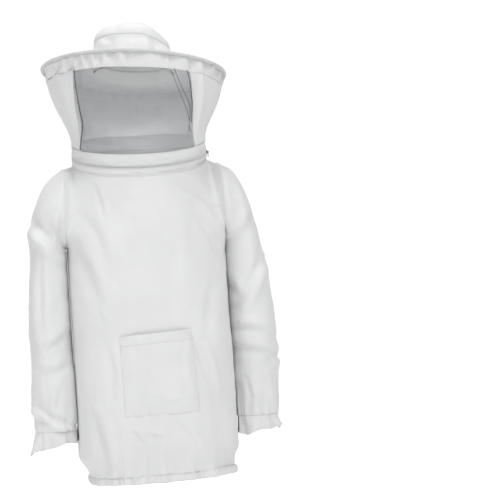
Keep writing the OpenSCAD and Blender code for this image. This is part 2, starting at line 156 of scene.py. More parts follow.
# ---- meshes from grids of points: rows x columns x 3 ----
def grid_faces(rows, cols, closed):
    i, j = np.mgrid[0:rows - 1, 0:cols if closed else cols - 1]
    k = (j + 1) % cols
    return np.stack([i * cols + j, i * cols + k, (i + 1) * cols + k, (i + 1) * cols + j], -1).reshape(-1, 4)


def wrap_faces(rows, cols):
    """Faces of a grid that closes in both directions."""
    i, j = np.mgrid[0:rows, 0:cols]
    i2, j2 = (i + 1) % rows, (j + 1) % cols
    return np.stack([i * cols + j, i2 * cols + j, i2 * cols + j2, i * cols + j2], -1).reshape(-1, 4)


def grid_normals(grid, closed, centre):
    """Unit normals of a grid, pointing away from centre."""
    if closed:
        across = np.roll(grid, -1, 1) - np.roll(grid, 1, 1)
    else:
        across = np.gradient(grid, axis=1)
    down = np.gradient(grid, axis=0)
    n = np.cross(across, down)
    n /= np.maximum(np.linalg.norm(n, axis=-1, keepdims=True), 1e-12)
    away = np.sum(n * (grid - np.asarray(centre)), -1)
    return n if np.mean(away) > 0 else -n


def displaced(grid, height, closed, centre):
    return grid + grid_normals(grid, closed, centre) * height[..., None]


def linked(name, data):
    """A new object in the scene that holds this mesh, light or camera."""
    obj = bpy.data.objects.new(name, data)
    bpy.context.scene.collection.objects.link(obj)
    return obj


def turns(count):
    """Evenly spaced angles round a full turn."""
    return TAU * np.arange(count) / count


def outward(points):
    """Level unit directions from the upright axis to each point."""
    flat = points * np.array([1, 1, 0])
    return flat / np.linalg.norm(flat, axis=-1, keepdims=True)


def make_object(name, points, faces):
    """A smooth mesh. The faces are an array, or a list where they differ in their number of corners."""
    mesh = bpy.data.meshes.new(name)
    if isinstance(faces, np.ndarray):
        faces = faces.tolist()
    mesh.from_pydata(np.asarray(points).reshape(-1, 3).tolist(), [], faces)
    mesh.polygons.foreach_set("use_smooth", [True] * len(mesh.polygons))
    mesh.update()
    return linked(name, mesh)


def shell(name, grid, thickness, closed, centre):
    """A closed sheet of cloth: the grid is its outer face, and its inner face lies behind it."""
    rows, cols = grid.shape[:2]
    normals = grid_normals(grid, closed, centre)
    inner = grid - normals * thickness
    n = rows * cols
    faces = grid_faces(rows, cols, closed)
    sides = []
    last = cols if closed else cols - 1
    for row, flip in ((0, False), (rows - 1, True)):
        a = row * cols + np.arange(last)
        b = row * cols + (np.arange(last) + 1) % cols
        loop = np.stack([a, n + a, n + b, b], -1)
        sides.append(loop[:, ::-1] if flip else loop)
    if not closed:
        for col, flip in ((0, True), (cols - 1, False)):
            a = np.arange(rows - 1) * cols + col
            b = a + cols
            loop = np.stack([a, n + a, n + b, b], -1)
            sides.append(loop[:, ::-1] if flip else loop)
    all_faces = np.concatenate([faces, faces[:, ::-1] + n] + sides)
    # keep the outer face's winding outward
    first = grid[:2, :2]
    face_normal = np.cross(first[0, 1] - first[0, 0], first[1, 0] - first[0, 0])
    if np.dot(face_normal, normals[0, 0]) < 0:
        all_faces = all_faces[:, ::-1]
    return make_object(name, np.concatenate([grid.reshape(-1, 3), inner.reshape(-1, 3)]), all_faces)


def tube(name, path, radius, closed=False, sides=8, ends=True):
    """A round cord along a path of points."""
    path = np.asarray(path, float)
    if closed:
        tangent = np.roll(path, -1, 0) - np.roll(path, 1, 0)
    else:
        tangent = np.gradient(path, axis=0)
    tangent /= np.linalg.norm(tangent, axis=1, keepdims=True)
    up = np.array([0, 0, 1.0])
    if abs(tangent[0] @ up) > 0.9:
        up = np.array([0, 1.0, 0])
    if np.abs(tangent @ up).max() > 0.999:
        # some stretch runs along it, so the axis that the path turns towards least is used
        up = np.eye(3)[np.argmin(np.abs(tangent).max(axis=0))]
    side = np.cross(tangent, up)
    side /= np.linalg.norm(side, axis=1, keepdims=True)
    over = np.cross(side, tangent)
    a = turns(sides)[None, :, None]
    ring = path[:, None] + radius * (np.cos(a) * side[:, None] + np.sin(a) * over[:, None])
    rows = len(path)
    faces = grid_faces(rows, sides, True).tolist()
    if closed:
        a0 = (rows - 1) * sides
        faces += [[a0 + j, a0 + (j + 1) % sides, (j + 1) % sides, j] for j in range(sides)]
    elif ends:
        faces += [list(range(sides))[::-1], [(rows - 1) * sides + j for j in range(sides)]]
    return make_object(name, ring.reshape(-1, 3), faces)


def along_path(path, step, closed=False):
    """Points at an even step along a path."""
    path = np.asarray(path, float)
    if closed:
        path = np.vstack([path, path[:1]])
    length = np.concatenate([[0], np.cumsum(np.linalg.norm(np.diff(path, axis=0), axis=1))])
    count = max(2, int(round(length[-1] / step)) + 1)
    s = np.linspace(0, length[-1], count)
    if closed:
        s = s[:-1]
    return np.stack([np.interp(s, length, path[:, k]) for k in range(3)], -1)


def from_axis(point):
    """Straight out from the torso's own axis."""
    return (point[0], point[1] - ARMHOLE_Y, 0)


def from_centre(point):
    """Straight out from the upright axis."""
    return (point[0], point[1], 0)


STITCH_LENGTH, STITCH_GAP, THREAD_R = 0.0030, 0.0014, 0.00034


def stitches(name, paths, lift, body, closed=False):
    """Rows of topstitches: short rounded threads along paths, each standing off its path by lift."""
    points, faces = [], []
    for path in paths:
        ends = along_path(path, STITCH_LENGTH + STITCH_GAP, closed)
        for a, b in zip(ends, np.roll(ends, -1, 0) if closed else ends[1:]):
            step = b - a
            length = np.linalg.norm(step)
            if length < 1e-6:
                continue
            t = step / length
            b = a + t * STITCH_LENGTH
            up = np.asarray(lift(0.5 * (a + b)), float)
            up -= t * (up @ t)
            up /= max(np.linalg.norm(up), 1e-9)
            side = np.cross(t, up)
            for where, rise in ((0, -0.3), (0.25, 0.8), (0.75, 0.8), (1, -0.3)):
                centre = lerp(a, b, where) + up * THREAD_R * rise
                points += [centre + side * THREAD_R, centre + up * THREAD_R, centre - side * THREAD_R]
            base = len(points) - 12
            for k in range(3):
                for m in range(3):
                    p, q = base + 3 * k + m, base + 3 * k + (m + 1) % 3
                    faces.append([p, q, q + 3, p + 3])
            faces += [[base, base + 2, base + 1], [base + 9, base + 10, base + 11]]
    obj = make_object(name, np.array(points), faces)
    sew(obj, body, THREAD)


def finish_piece(obj, body, slot, material, *nodes, cut=None, held="hung", rests_on=(), area=None):
    """Material, record slot, the CAD nodes it stands for, and the body it rides on. The record slot is not
    used.
    A piece of cloth also has its cut, which is its flat width and length. The cut is not used."""
    obj.data.materials.append(material)
    if nodes:
        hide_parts(*nodes)
    if body:
        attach(obj, body)


def sew(obj, body, material, *nodes, **sheet):
    """Finishes a piece of the white cloth, or of its thread."""
    finish_piece(obj, body, "white_cloth", material, *nodes, **sheet)


def add_node(tree, kind, **values):
    """A shader node and the constants on its own sockets, where To_Min stands for the socket To Min."""
    node = tree.nodes.new("ShaderNode" + kind)
    for socket, value in values.items():
        node.inputs[socket.replace("_", " ")].default_value = value
    return node


# ---- camera, lights and floor ----
CAMERA_AZIMUTH, CAMERA_DISTANCE, CAMERA_HEIGHT = math.radians(-4.1), 3.3, -0.416
CAMERA_AIM = Vector((0.251, 0.0, -0.230))
CAMERA_ANGLE, CAMERA_ROLL = math.radians(20.65), math.radians(4.3)


def make_camera():
    camera = linked("camera", bpy.data.cameras.new("camera"))
    camera.location = (CAMERA_DISTANCE * math.sin(CAMERA_AZIMUTH),
                       -CAMERA_DISTANCE * math.cos(CAMERA_AZIMUTH), CAMERA_HEIGHT)
    look = (CAMERA_AIM - camera.location).to_track_quat("-Z", "Y")
    camera.rotation_mode = "QUATERNION"
    camera.rotation_quaternion = look @ Quaternion((0, 0, 1), -CAMERA_ROLL)
    camera.data.angle = CAMERA_ANGLE
    bpy.context.scene.camera = camera


def area_light(name, place, aim, size, power):
    data = bpy.data.lights.new(name, "AREA")
    data.shape = "DISK"
    data.size = size
    data.energy = power
    light = linked(name, data)
    light.location = place
    light.rotation_euler = (Vector(aim) - Vector(place)).to_track_quat("-Z", "Y").to_euler()


WORLD_SHOWN, WORLD_LIGHT = 1.05, 0.42


def make_world():
    """White to the eye, and a softer white as light on the object."""
    world = bpy.data.worlds.new("studio")
    bpy.context.scene.world = world
    world.use_nodes = True
    tree, links = world.node_tree, world.node_tree.links
    tree.nodes.clear()
    rays = add_node(tree, "LightPath")
    light = add_node(tree, "Background", Strength=WORLD_LIGHT, Color=(1, 1, 1, 1))
    shown = add_node(tree, "Background", Strength=WORLD_SHOWN, Color=(1, 1, 1, 1))
    mix = add_node(tree, "MixShader")
    out = add_node(tree, "OutputWorld")
    links.new(rays.outputs["Is Camera Ray"], mix.inputs[0])
    links.new(light.outputs[0], mix.inputs[1])
    links.new(shown.outputs[0], mix.inputs[2])
    links.new(mix.outputs[0], out.inputs["Surface"])


FLOOR_Z, FLOOR_R = -0.90, 9
FLOOR_SHOWN, FLOOR_LIGHT = 0.62, 0.12


def make_floor():
    mesh = bpy.data.meshes.new("floor")
    corners = 64
    ring = [(FLOOR_R * math.cos(a), FLOOR_R * math.sin(a), FLOOR_Z) for a in turns(corners)]
    mesh.from_pydata(ring, [], [list(range(corners))])
    floor = linked("floor", mesh)
    material = bpy.data.materials.new("floor")
    material.use_nodes = True
    tree = material.node_tree
    shader = tree.nodes["Principled BSDF"]
    shader.inputs["Base Color"].default_value = (0.93, 0.93, 0.93, 1)
    shader.inputs["Roughness"].default_value = 0.9
    shader.inputs["Specular IOR Level"].default_value = 0.1
    shader.inputs["Emission Color"].default_value = (1, 1, 1, 1)
    # the glow shows, but hardly lights the jacket
    rays = add_node(tree, "LightPath")
    glow = add_node(tree, "MapRange", To_Min=FLOOR_LIGHT, To_Max=FLOOR_SHOWN)
    tree.links.new(rays.outputs["Is Camera Ray"], glow.inputs["Value"])
    tree.links.new(glow.outputs["Result"], shader.inputs["Emission Strength"])
    floor.data.materials.append(material)


make_camera()
make_world()
make_floor()
area_light("key", (1.1, -2.8, 2.3), (0, 0, -0.2), 1.8, 50)
area_light("fill", (-2.6, -2.4, 0.3), (0, 0, -0.3), 2.2, 16)
area_light("top", (-0.3, -0.5, 2.9), (0, 0, -0.2), 2.0, 35)
area_light("back", (-0.6, 3.0, 0.8), (0, 0, -0.2), 2.2, 18)
veil_glow = linked("through_the_cloth", bpy.data.lights.new("through_the_cloth", "POINT"))
veil_glow.data.energy, veil_glow.data.shadow_soft_size = 0.40, 0.07
veil_glow.location = (0, -0.02, 0.115)
bpy.context.scene.view_settings.view_transform = "Standard"


# ---- materials ----
def new_material(name, colour, roughness, sheen=0.0, specular=0.3, metallic=0.0):
    material = bpy.data.materials.new(name)
    material.use_nodes = True
    shader = material.node_tree.nodes["Principled BSDF"]
    shader.inputs["Base Color"].default_value = (*colour, 1)
    shader.inputs["Roughness"].default_value = roughness
    shader.inputs["Specular IOR Level"].default_value = specular
    shader.inputs["Metallic"].default_value = metallic
    shader.inputs["Sheen Weight"].default_value = sheen
    shader.inputs["Sheen Roughness"].default_value = 0.5
    return material, shader


def object_point(material, scale):
    """Object coordinates times a scale, as a node output."""
    where = add_node(material.node_tree, "TexCoord")
    mapping = add_node(material.node_tree, "Mapping", Scale=scale)
    material.node_tree.links.new(where.outputs["Object"], mapping.inputs["Vector"])
    return mapping.outputs["Vector"]


def mottle(material, shader, dark, light, size):
    """Base colour that drifts between two near shades."""
    links = material.node_tree.links
    cloud = add_node(material.node_tree, "TexNoise", Scale=1 / size, Detail=4.0)
    links.new(object_point(material, (1, 1, 1)), cloud.inputs["Vector"])
    ramp = add_node(material.node_tree, "ValToRGB")
    ramp.color_ramp.elements[0].position, ramp.color_ramp.elements[1].position = 0.32, 0.68
    ramp.color_ramp.elements[0].color = (*dark, 1)
    ramp.color_ramp.elements[1].color = (*light, 1)
    links.new(cloud.outputs["Fac"], ramp.inputs["Fac"])
    links.new(ramp.outputs["Color"], shader.inputs["Base Color"])
    return cloud


WEAVE_PITCH, WEAVE_DEPTH, CLOTH_ROUGHNESS = 0.0011, 0.00006, 0.86


def cloth_material(name, dark, light, crumple=0.0009):
    """Plain-weave cotton: threads in two directions, faint crumpling, and a shade that drifts a little."""
    material, shader = new_material(name, light, CLOTH_ROUGHNESS, sheen=0.25, specular=0.22)
    tree, links = material.node_tree, material.node_tree.links
    mottle(material, shader, dark, light, 0.09)
    cross = add_node(tree, "Math")
    cross.operation = "MULTIPLY"
    for k, axis in enumerate("XZ"):
        wave = add_node(tree, "TexWave", Scale=1 / WEAVE_PITCH * 0.31, Distortion=0.6, Detail=1.0)
        wave.wave_type = "BANDS"
        wave.bands_direction = axis
        links.new(object_point(material, (1, 1, 1)), wave.inputs["Vector"])
        links.new(wave.outputs["Fac"], cross.inputs[k])
    weave_bump = add_node(tree, "Bump", Distance=WEAVE_DEPTH, Strength=0.5)
    links.new(cross.outputs[0], weave_bump.inputs["Height"])
    folds = add_node(tree, "TexNoise", Scale=42, Detail=3.5, Roughness=0.5, Distortion=0.6)
    links.new(object_point(material, (1.15, 1, 0.75)), folds.inputs["Vector"])
    fold_bump = add_node(tree, "Bump", Distance=crumple, Strength=0.55)
    links.new(folds.outputs["Fac"], fold_bump.inputs["Height"])
    links.new(weave_bump.outputs["Normal"], fold_bump.inputs["Normal"])
    links.new(fold_bump.outputs["Normal"], shader.inputs["Normal"])
    return material


CLOTH = cloth_material("white_cotton", (0.785, 0.787, 0.79), (0.82, 0.822, 0.824))
# The rim binding is the same white cotton painted darker: painted shade for the rolled rim and its underside.
RIM_CLOTH_PAINTED_SHADE = cloth_material("white_cotton_rim_painted_shade", (0.62, 0.622, 0.626), (0.68, 0.682, 0.686), crumple=0.0005)
HEM_CLOTH = cloth_material("white_cotton_hem", (0.775, 0.777, 0.78), (0.815, 0.817, 0.82), crumple=0.0013)


def plain_material(name, dark, light, roughness, size=0.02, metallic=0.0, specular=0.4, depth=0.0002,
                   sheen=0.0):
    material, shader = new_material(name, light, roughness, sheen, specular, metallic)
    cloud = mottle(material, shader, dark, light, size)
    rough = add_node(material.node_tree, "Bump", Distance=depth, Strength=0.4)
    material.node_tree.links.new(cloud.outputs["Fac"], rough.inputs["Height"])
    material.node_tree.links.new(rough.outputs["Normal"], shader.inputs["Normal"])
    return material


THREAD = plain_material("sewing_thread", (0.84, 0.842, 0.845), (0.90, 0.902, 0.904), 0.7, size=0.004)
NET = plain_material("net_thread", (0.33, 0.336, 0.345), (0.39, 0.397, 0.407), 0.65, size=0.03,
                     depth=0.0001)
NET_FOLD = plain_material("net_folded", (0.10, 0.102, 0.106), (0.16, 0.163, 0.168), 0.7, size=0.01)
TAPE = plain_material("zip_tape", (0.76, 0.765, 0.77), (0.82, 0.82, 0.825), 0.8, size=0.003, sheen=0.2)
COIL = plain_material("zip_nylon", (0.76, 0.76, 0.77), (0.83, 0.83, 0.835), 0.4, size=0.01, specular=0.5)
METAL = plain_material("zip_gunmetal", (0.035, 0.036, 0.04), (0.07, 0.072, 0.078), 0.38, metallic=0.6,
                       specular=0.5)
WIRE = plain_material("spring_steel", (0.42, 0.42, 0.44), (0.55, 0.55, 0.57), 0.35, metallic=1.0)
ELASTIC = plain_material("knit_elastic", (0.72, 0.72, 0.71), (0.79, 0.79, 0.775), 0.85, size=0.0025,
                         sheen=0.3)


# ---- shared curves of the collar and hat ----
def from_collar(x, y, z):
    c, s = math.cos(COLLAR_TILT), math.sin(COLLAR_TILT)
    return np.stack([x + 0 * y, ARMHOLE_Y + y * c - z * s, COLLAR_Z + y * s + z * c], -1)


def from_hat(x, y, z):
    x, y, z = np.broadcast_arrays(x, y, z)
    rolled_x = x * math.cos(BRIM_ROLL) + z * math.sin(BRIM_ROLL)
    rolled_z = -x * math.sin(BRIM_ROLL) + z * math.cos(BRIM_ROLL)
    return np.stack([rolled_x, y * math.cos(BRIM_TILT) + rolled_z * math.sin(BRIM_TILT),
                     BRIM_Z - y * math.sin(BRIM_TILT) + rolled_z * math.cos(BRIM_TILT)], -1)


def neck_r(phi):
    return COLLAR_R / (1 + np.maximum(0, np.sin(phi)) ** 3 * (COLLAR_R / COLLAR_BACK - 1))


def neck_point(phi, z, grow=0.0):
    r = neck_r(phi) + grow
    return from_collar(r * np.cos(phi), r * np.sin(phi), z + 0 * phi)


def veil_point(phi, v):
    """Points on the plain veil, by angle and by height from 0 at the neck to 1 at the brim."""
    v = np.asarray(v)[..., None]
    low = neck_point(phi, BAND_EDGE + VEIL_BASE_H + SEAM_GAP)
    high = from_hat(VEIL_TOP_R * np.cos(phi), VEIL_TOP_R * np.sin(phi), -0.0030)
    return lerp(low, high, v)


def window_half(v):
    """Half the window's angle, wider at the neck than at the brim."""
    return np.radians(lerp(WINDOW_HALF_LOW, WINDOW_HALF_HIGH, v))


# ---- torso ----
def side_x(z):
    t = (ARMHOLE_Z - ARMHOLE_R - z) / (HEM_DROP - HEM_H + ARMHOLE_Z - ARMHOLE_R)
    below = lerp(lerp(ARMHOLE_X, TORSO_HALF_W, smooth(t * 4)), HEM_HALF_W, smooth((t - 0.9) / 0.1))
    return np.where(z > ARMHOLE_Z - ARMHOLE_R, ARMHOLE_X, below)


def near_hem(z):
    """How far the elastic has drawn the body in, from 0 above it to 1 at the hem."""
    return smooth((-z - HEM_DROP + 0.090) / 0.070)


def front_y(z):
    return -lerp(CHEST_FRONT, CHEST_FRONT - HEM_IN_FRONT, near_hem(z))


def rear_y(z):
    hollow = lerp(BACK_REAR - 0.016, BACK_REAR, smooth(-z / 0.160))
    return lerp(hollow, BACK_REAR - HEM_IN_BACK, near_hem(z))


def armhole_depth(z):
    return np.sqrt(np.maximum(0, ARMHOLE_R ** 2 - (z - ARMHOLE_Z) ** 2))


def body_point(side, u, z):
    """Plain panel: flatter beside the armholes than below them."""
    across = -np.cos(math.pi * u)
    around = np.mean([armhole_depth(z + d) for d in np.linspace(-0.035, 0.035, 15)], axis=0)
    depth = lerp(around, armhole_depth(z), np.abs(across) ** 40)
    edge_y = ARMHOLE_Y + side * (depth + SEAM_GAP / 2)
    mid_y = front_y(z) if side < 0 else rear_y(z)
    power = lerp(1 / ROUNDNESS, 0.80, (around / ARMHOLE_R) ** 2)
    swell = (1 - np.abs(across) ** ROUNDNESS) ** power
    return np.stack([side_x(z) * across, lerp(edge_y, mid_y, swell), z + 0 * u], -1)


def top_edge(side, u):
    """Shoulder seam, neck and shoulder seam, from the right armhole to the left one."""
    j = u * 32
    arc = np.clip((j - 4) / 24, 0, 1)
    shift = np.array([0, side * SEAM_GAP / 2, 0])
    neck = neck_point(math.pi - side * math.pi * arc, -COLLAR_H - SEAM_GAP) + shift
    tip = np.stack([np.where(u < 0.5, -ARMHOLE_X, ARMHOLE_X), 0 * u + ARMHOLE_Y + side * SEAM_GAP / 2,
                    0 * u + ARMHOLE_Z + ARMHOLE_R], -1)
    share = np.clip(np.where(u < 0.5, j, 32 - j) / 4, 0, 1)[:, None]
    return lerp(tip, neck, share)


def torso_rows(count):
    """Heights of the panel's rows, closer together where they end on the round armhole."""
    top = ARMHOLE_Z + ARMHOLE_R
    turn = np.linspace(0, 0.5, 9)
    ends = np.concatenate([ARMHOLE_Z + ARMHOLE_R * np.cos(turn), ARMHOLE_Z - ARMHOLE_R * np.cos(turn)])
    heights = np.sort(np.concatenate([np.linspace(-HEM_DROP + HEM_H, top, count), ends]))[::-1]
    kept = [heights[0]]
    for z in heights[1:]:
        if kept[-1] - z > 0.0009:
            kept.append(z)
    kept[-1] = heights[-1]
    return np.array(kept)


def yoke_share(z):
    """How far each row follows the neck and shoulder line: 1 at the shoulder seam, 0 below the armholes."""
    step = np.arange(9)
    heights = np.append(ARMHOLE_Z + ARMHOLE_R * np.cos(math.pi * step / 10), [-0.222, -0.260])
    shares = np.append(1 - smooth(step / 11), [0.045, 0])
    spread = np.linspace(-0.012, 0.012, 9)
    share = np.mean([np.interp(-(z + d), -heights, shares) for d in spread], axis=0)
    return np.where(z > heights[0] - 0.012, lerp(share, 1, (z - heights[0] + 0.012) / 0.012), share)


def torso_grid(side, cols, count):
    """The plain panel, as rows of heights by columns of shares of its width."""
    z = torso_rows(count)
    u = np.linspace(0, 1, cols)
    offset = top_edge(side, u) - body_point(side, u, np.full_like(u, z[0]))
    share = yoke_share(z)
    grid = np.stack([body_point(side, u, np.full_like(u, zz)) + f * softened(offset, z[0] - zz)
                     for zz, f in zip(z, share)])
    return grid, z, u


def softened(offset, below):
    """The corner where the neck meets the shoulder dies out over the first few centimetres of cloth."""
    spread = 0.115 * below * len(offset) / (0.04 + below)
    if spread < 0.5:
        return offset
    reach = int(3 * spread)
    kernel = np.exp(-(np.arange(-reach, reach + 1) / spread) ** 2)
    kernel /= kernel.sum()
    padded = np.concatenate([-offset[reach:0:-1], offset, -offset[-2:-reach - 2:-1]])
    return np.stack([np.convolve(padded[:, k], kernel, "valid") for k in range(3)], -1)


# Each crease: path of (x, z), depth, half width, lip
FRONT_CREASES = [
    ([(0.060, -0.052), (0.105, -0.078), (0.150, -0.108)], 0.0045, 0.012, 1.1),
    ([(-0.116, -0.066), (-0.108, -0.100), (-0.100, -0.150)], 0.0022, 0.006, 0.7),
    ([(0.112, -0.130), (0.140, -0.168), (0.164, -0.208), (0.176, -0.250)], 0.0060, 0.013, 0.9),
    ([(-0.176, -0.200), (-0.150, -0.262), (-0.128, -0.340)], 0.0045, 0.016, 0.8),
    ([(-0.150, -0.130), (-0.120, -0.180), (-0.108, -0.240)], 0.0030, 0.014, 0.7),
    ([(0.146, -0.300), (0.128, -0.370), (0.118, -0.430)], 0.0034, 0.014, 0.8),
    ([(0.092, -0.445), (0.106, -0.490), (0.124, -0.545)], 0.0042, 0.010, 1.2),
    ([(-0.151, -0.600), (-0.144, -0.650), (-0.134, -0.715)], 0.0055, 0.012, 1.0),
    ([(-0.072, -0.630), (-0.052, -0.668)], 0.0028, 0.007, 0.9),
    ([(-0.036, -0.646), (-0.004, -0.655)], 0.0022, 0.005, 0.9),
    ([(0.030, -0.622), (0.062, -0.660), (0.080, -0.705)], 0.0026, 0.010, 0.9),
    ([(-0.040, -0.120), (-0.052, -0.200), (-0.058, -0.300)], 0.0020, 0.020, 0.8),
    ([(0.040, -0.160), (0.052, -0.240), (0.050, -0.330)], 0.0018, 0.018, 0.8),
    ([(-0.118, -0.430), (-0.108, -0.500), (-0.112, -0.560)], 0.0024, 0.010, 0.9),
]
BACK_CREASES = [
    ([(-0.120, -0.150), (-0.060, -0.175), (0.020, -0.165)], 0.0035, 0.014, 0.9),
    ([(0.150, -0.130), (0.110, -0.180), (0.080, -0.260)], 0.0048, 0.013, 0.9),
    ([(-0.160, -0.170), (-0.130, -0.230), (-0.110, -0.320)], 0.0048, 0.013, 0.9),
    ([(-0.060, -0.330), (-0.072, -0.430), (-0.066, -0.530)], 0.0030, 0.018, 0.8),
    ([(0.056, -0.300), (0.070, -0.420), (0.060, -0.560)], 0.0034, 0.018, 0.8),
    ([(0.130, -0.400), (0.122, -0.480), (0.134, -0.560)], 0.0036, 0.012, 0.9),
    ([(-0.140, -0.480), (-0.128, -0.560), (-0.140, -0.640)], 0.0036, 0.012, 0.9),
    ([(-0.020, -0.580), (0.004, -0.640), (0.000, -0.700)], 0.0026, 0.010, 0.9),
]
HEM_TOP = -HEM_DROP + HEM_H
# The torso's sides and the sleeves' inner faces nearly touch, and stay on their own sides of this gap
SIDE_REACH, SLEEVE_REACH = 0.1894, 0.1902
ARMHOLE_GAP = 0.0012


def hem_gather(x, side, above):
    """Pleats that the hem elastic draws up, narrow at the casing and broader above it."""
    key = 10 * (side + 2)
    near = pleats(x, 0.013, key + 1) * np.exp(-(above / 0.024) ** 2) * 0.0036
    mid = pleats(x, 0.024, key + 2) * np.exp(-(above / 0.066) ** 1.6) * 0.0042
    far = pleats(x, 0.050, key + 3) * np.exp(-(above / 0.140) ** 1.6) * 0.0044
    return near + mid + far


def torso_relief(side, x, z):
    """How far the hanging cloth stands proud of the plain panel."""
    listed = FRONT_CREASES if side < 0 else BACK_CREASES
    flat = np.stack([x, z * 0.45], -1)
    drape = noise(flat, 0.085, 3 + side) * 0.0048 + noise(flat, 0.040, 7 + side) * 0.0022
    small = noise(np.stack([x + 0.3 * z, z - 0.2 * x], -1), 0.020, 17 + side) * 0.0007
    return 1.5 * creases(x, z, listed) + drape + small + hem_gather(x, side, z - HEM_TOP)


def shoulder_drop(points):
    """The cloth sinks a little at the top of each armhole, on both sides of its seam."""
    out = np.abs(points[..., 0])
    along = smooth((out - 0.156) / 0.032) * smooth((0.238 - out) / 0.048)
    depth = 0.0072 + 0.0026 * np.sign(points[..., 0])
    return depth * along * smooth((points[..., 2] + 0.066) / 0.058)


def torso_panel(side, name, node):
    grid, row_z, u = torso_grid(side, 141, 250)
    x, z = grid[..., 0], grid[..., 2]
    ends = smooth(np.minimum(u, 1 - u) / 0.07)[None, :]
    top = smooth((row_z[0] - row_z) / 0.020)[:, None]
    height = torso_relief(side, x, z) * ends * top
    grid = displaced(grid, height, False, TORSO_CENTRE)
    beside_sleeve = smooth((-0.190 - row_z) / 0.010) * smooth((row_z + 0.685) / 0.02)
    flare = (SIDE_REACH - side_x(row_z)) * beside_sleeve + 0.005 * bump(row_z, -0.704, 0.026)
    grid[..., 2] -= shoulder_drop(grid)
    grid[..., 0] += np.sign(u - 0.5)[None, :] * np.abs(2 * u - 1)[None, :] ** 6 * flare[:, None]
    obj = shell(name, grid, 0.0012, False, TORSO_CENTRE)
    sew(obj, "jacket", CLOTH, node, cut=(0.55, 0.78), area=0.40,
        rests_on=["collar_band_cloth"])


torso_panel(-1, "front_panel_cloth", "front_body_panel")
torso_panel(1, "back_panel_cloth", "back_body_panel")


# ---- hem casing ----
def hem_point(a, z, grow):
    half_y = np.where(np.sin(a) < 0, ARMHOLE_Y + CHEST_FRONT - HEM_IN_FRONT,
                      BACK_REAR - HEM_IN_BACK - ARMHOLE_Y)
    k = (np.abs(np.cos(a)) ** ROUNDNESS + np.abs(np.sin(a)) ** ROUNDNESS) ** (-1 / ROUNDNESS)
    return np.stack([(HEM_HALF_W + grow) * np.cos(a) * k,
                     ARMHOLE_Y + (half_y + grow) * np.sin(a) * k, z + 0 * a], -1)


def hem_casing():
    """A rounded tunnel of cloth round the hem, puckered by its elastic."""
    around, profile = 420, 20
    a = turns(around)
    plain = hem_point(a, 0 * a, 0 * a)
    side = np.where(plain[:, 1] < ARMHOLE_Y, -1, 1)
    ruffle = np.where(side < 0, hem_gather(plain[:, 0], -1, 0 * a), hem_gather(plain[:, 0], 1, 0 * a))
    ruffle = ruffle * smooth((1 - np.abs(np.cos(a))) / 0.05)
    crimp = pleats(a * 0.15, 0.0085, 91) * 0.0012
    droop = 0.001 * noise(np.stack([a, 0 * a], -1), 0.3, 4)
    rows = []
    for k in range(profile):
        t = TAU * k / profile
        out = 0.0042 * np.sign(math.cos(t)) * abs(math.cos(t)) ** 0.7
        z = -HEM_DROP + HEM_H / 2 + 0.0095 * np.sign(math.sin(t)) * abs(math.sin(t)) ** 0.8
        belly = 0.5 + 0.5 * math.cos(t)
        rows.append(hem_point(a, z + crimp * 0.6 * (1 - belly) - droop,
                              out - 0.0010 + ruffle + crimp * (0.5 + belly)))
    grid = np.stack(rows + [rows[0]])
    obj = make_object("hem_casing_cloth", grid[:-1], wrap_faces(profile, around))
    sew(obj, "jacket", HEM_CLOTH, "hem_casing", "hem_elastic",
        cut=(1.06, 0.026), held="gathered", rests_on=["front_panel_cloth", "back_panel_cloth"])
    line = hem_point(a, 0 * a - HEM_DROP + HEM_H - 0.0012, ruffle + 0.0034)
    stitches("hem_stitching", [line], from_axis, "jacket", closed=True)


hem_casing()


# ---- pocket ----
def front_surface_y(x, z):
    across = np.minimum(1, np.abs(x) / side_x(z))
    plain = lerp(ARMHOLE_Y - SEAM_GAP / 2, front_y(z), (1 - across ** ROUNDNESS) ** (1 / ROUNDNESS))
    return plain - torso_relief(-1, x, z)


POCKET_CREASES = [
    ([(-0.060, -0.420), (-0.050, -0.480), (-0.058, -0.540)], 0.0022, 0.010, 0.9),
    ([(0.060, -0.430), (0.052, -0.500), (0.064, -0.560)], 0.0026, 0.010, 0.9),
    ([(-0.020, -0.560), (0.020, -0.580), (0.056, -0.572)], 0.0018, 0.008, 0.9),
]


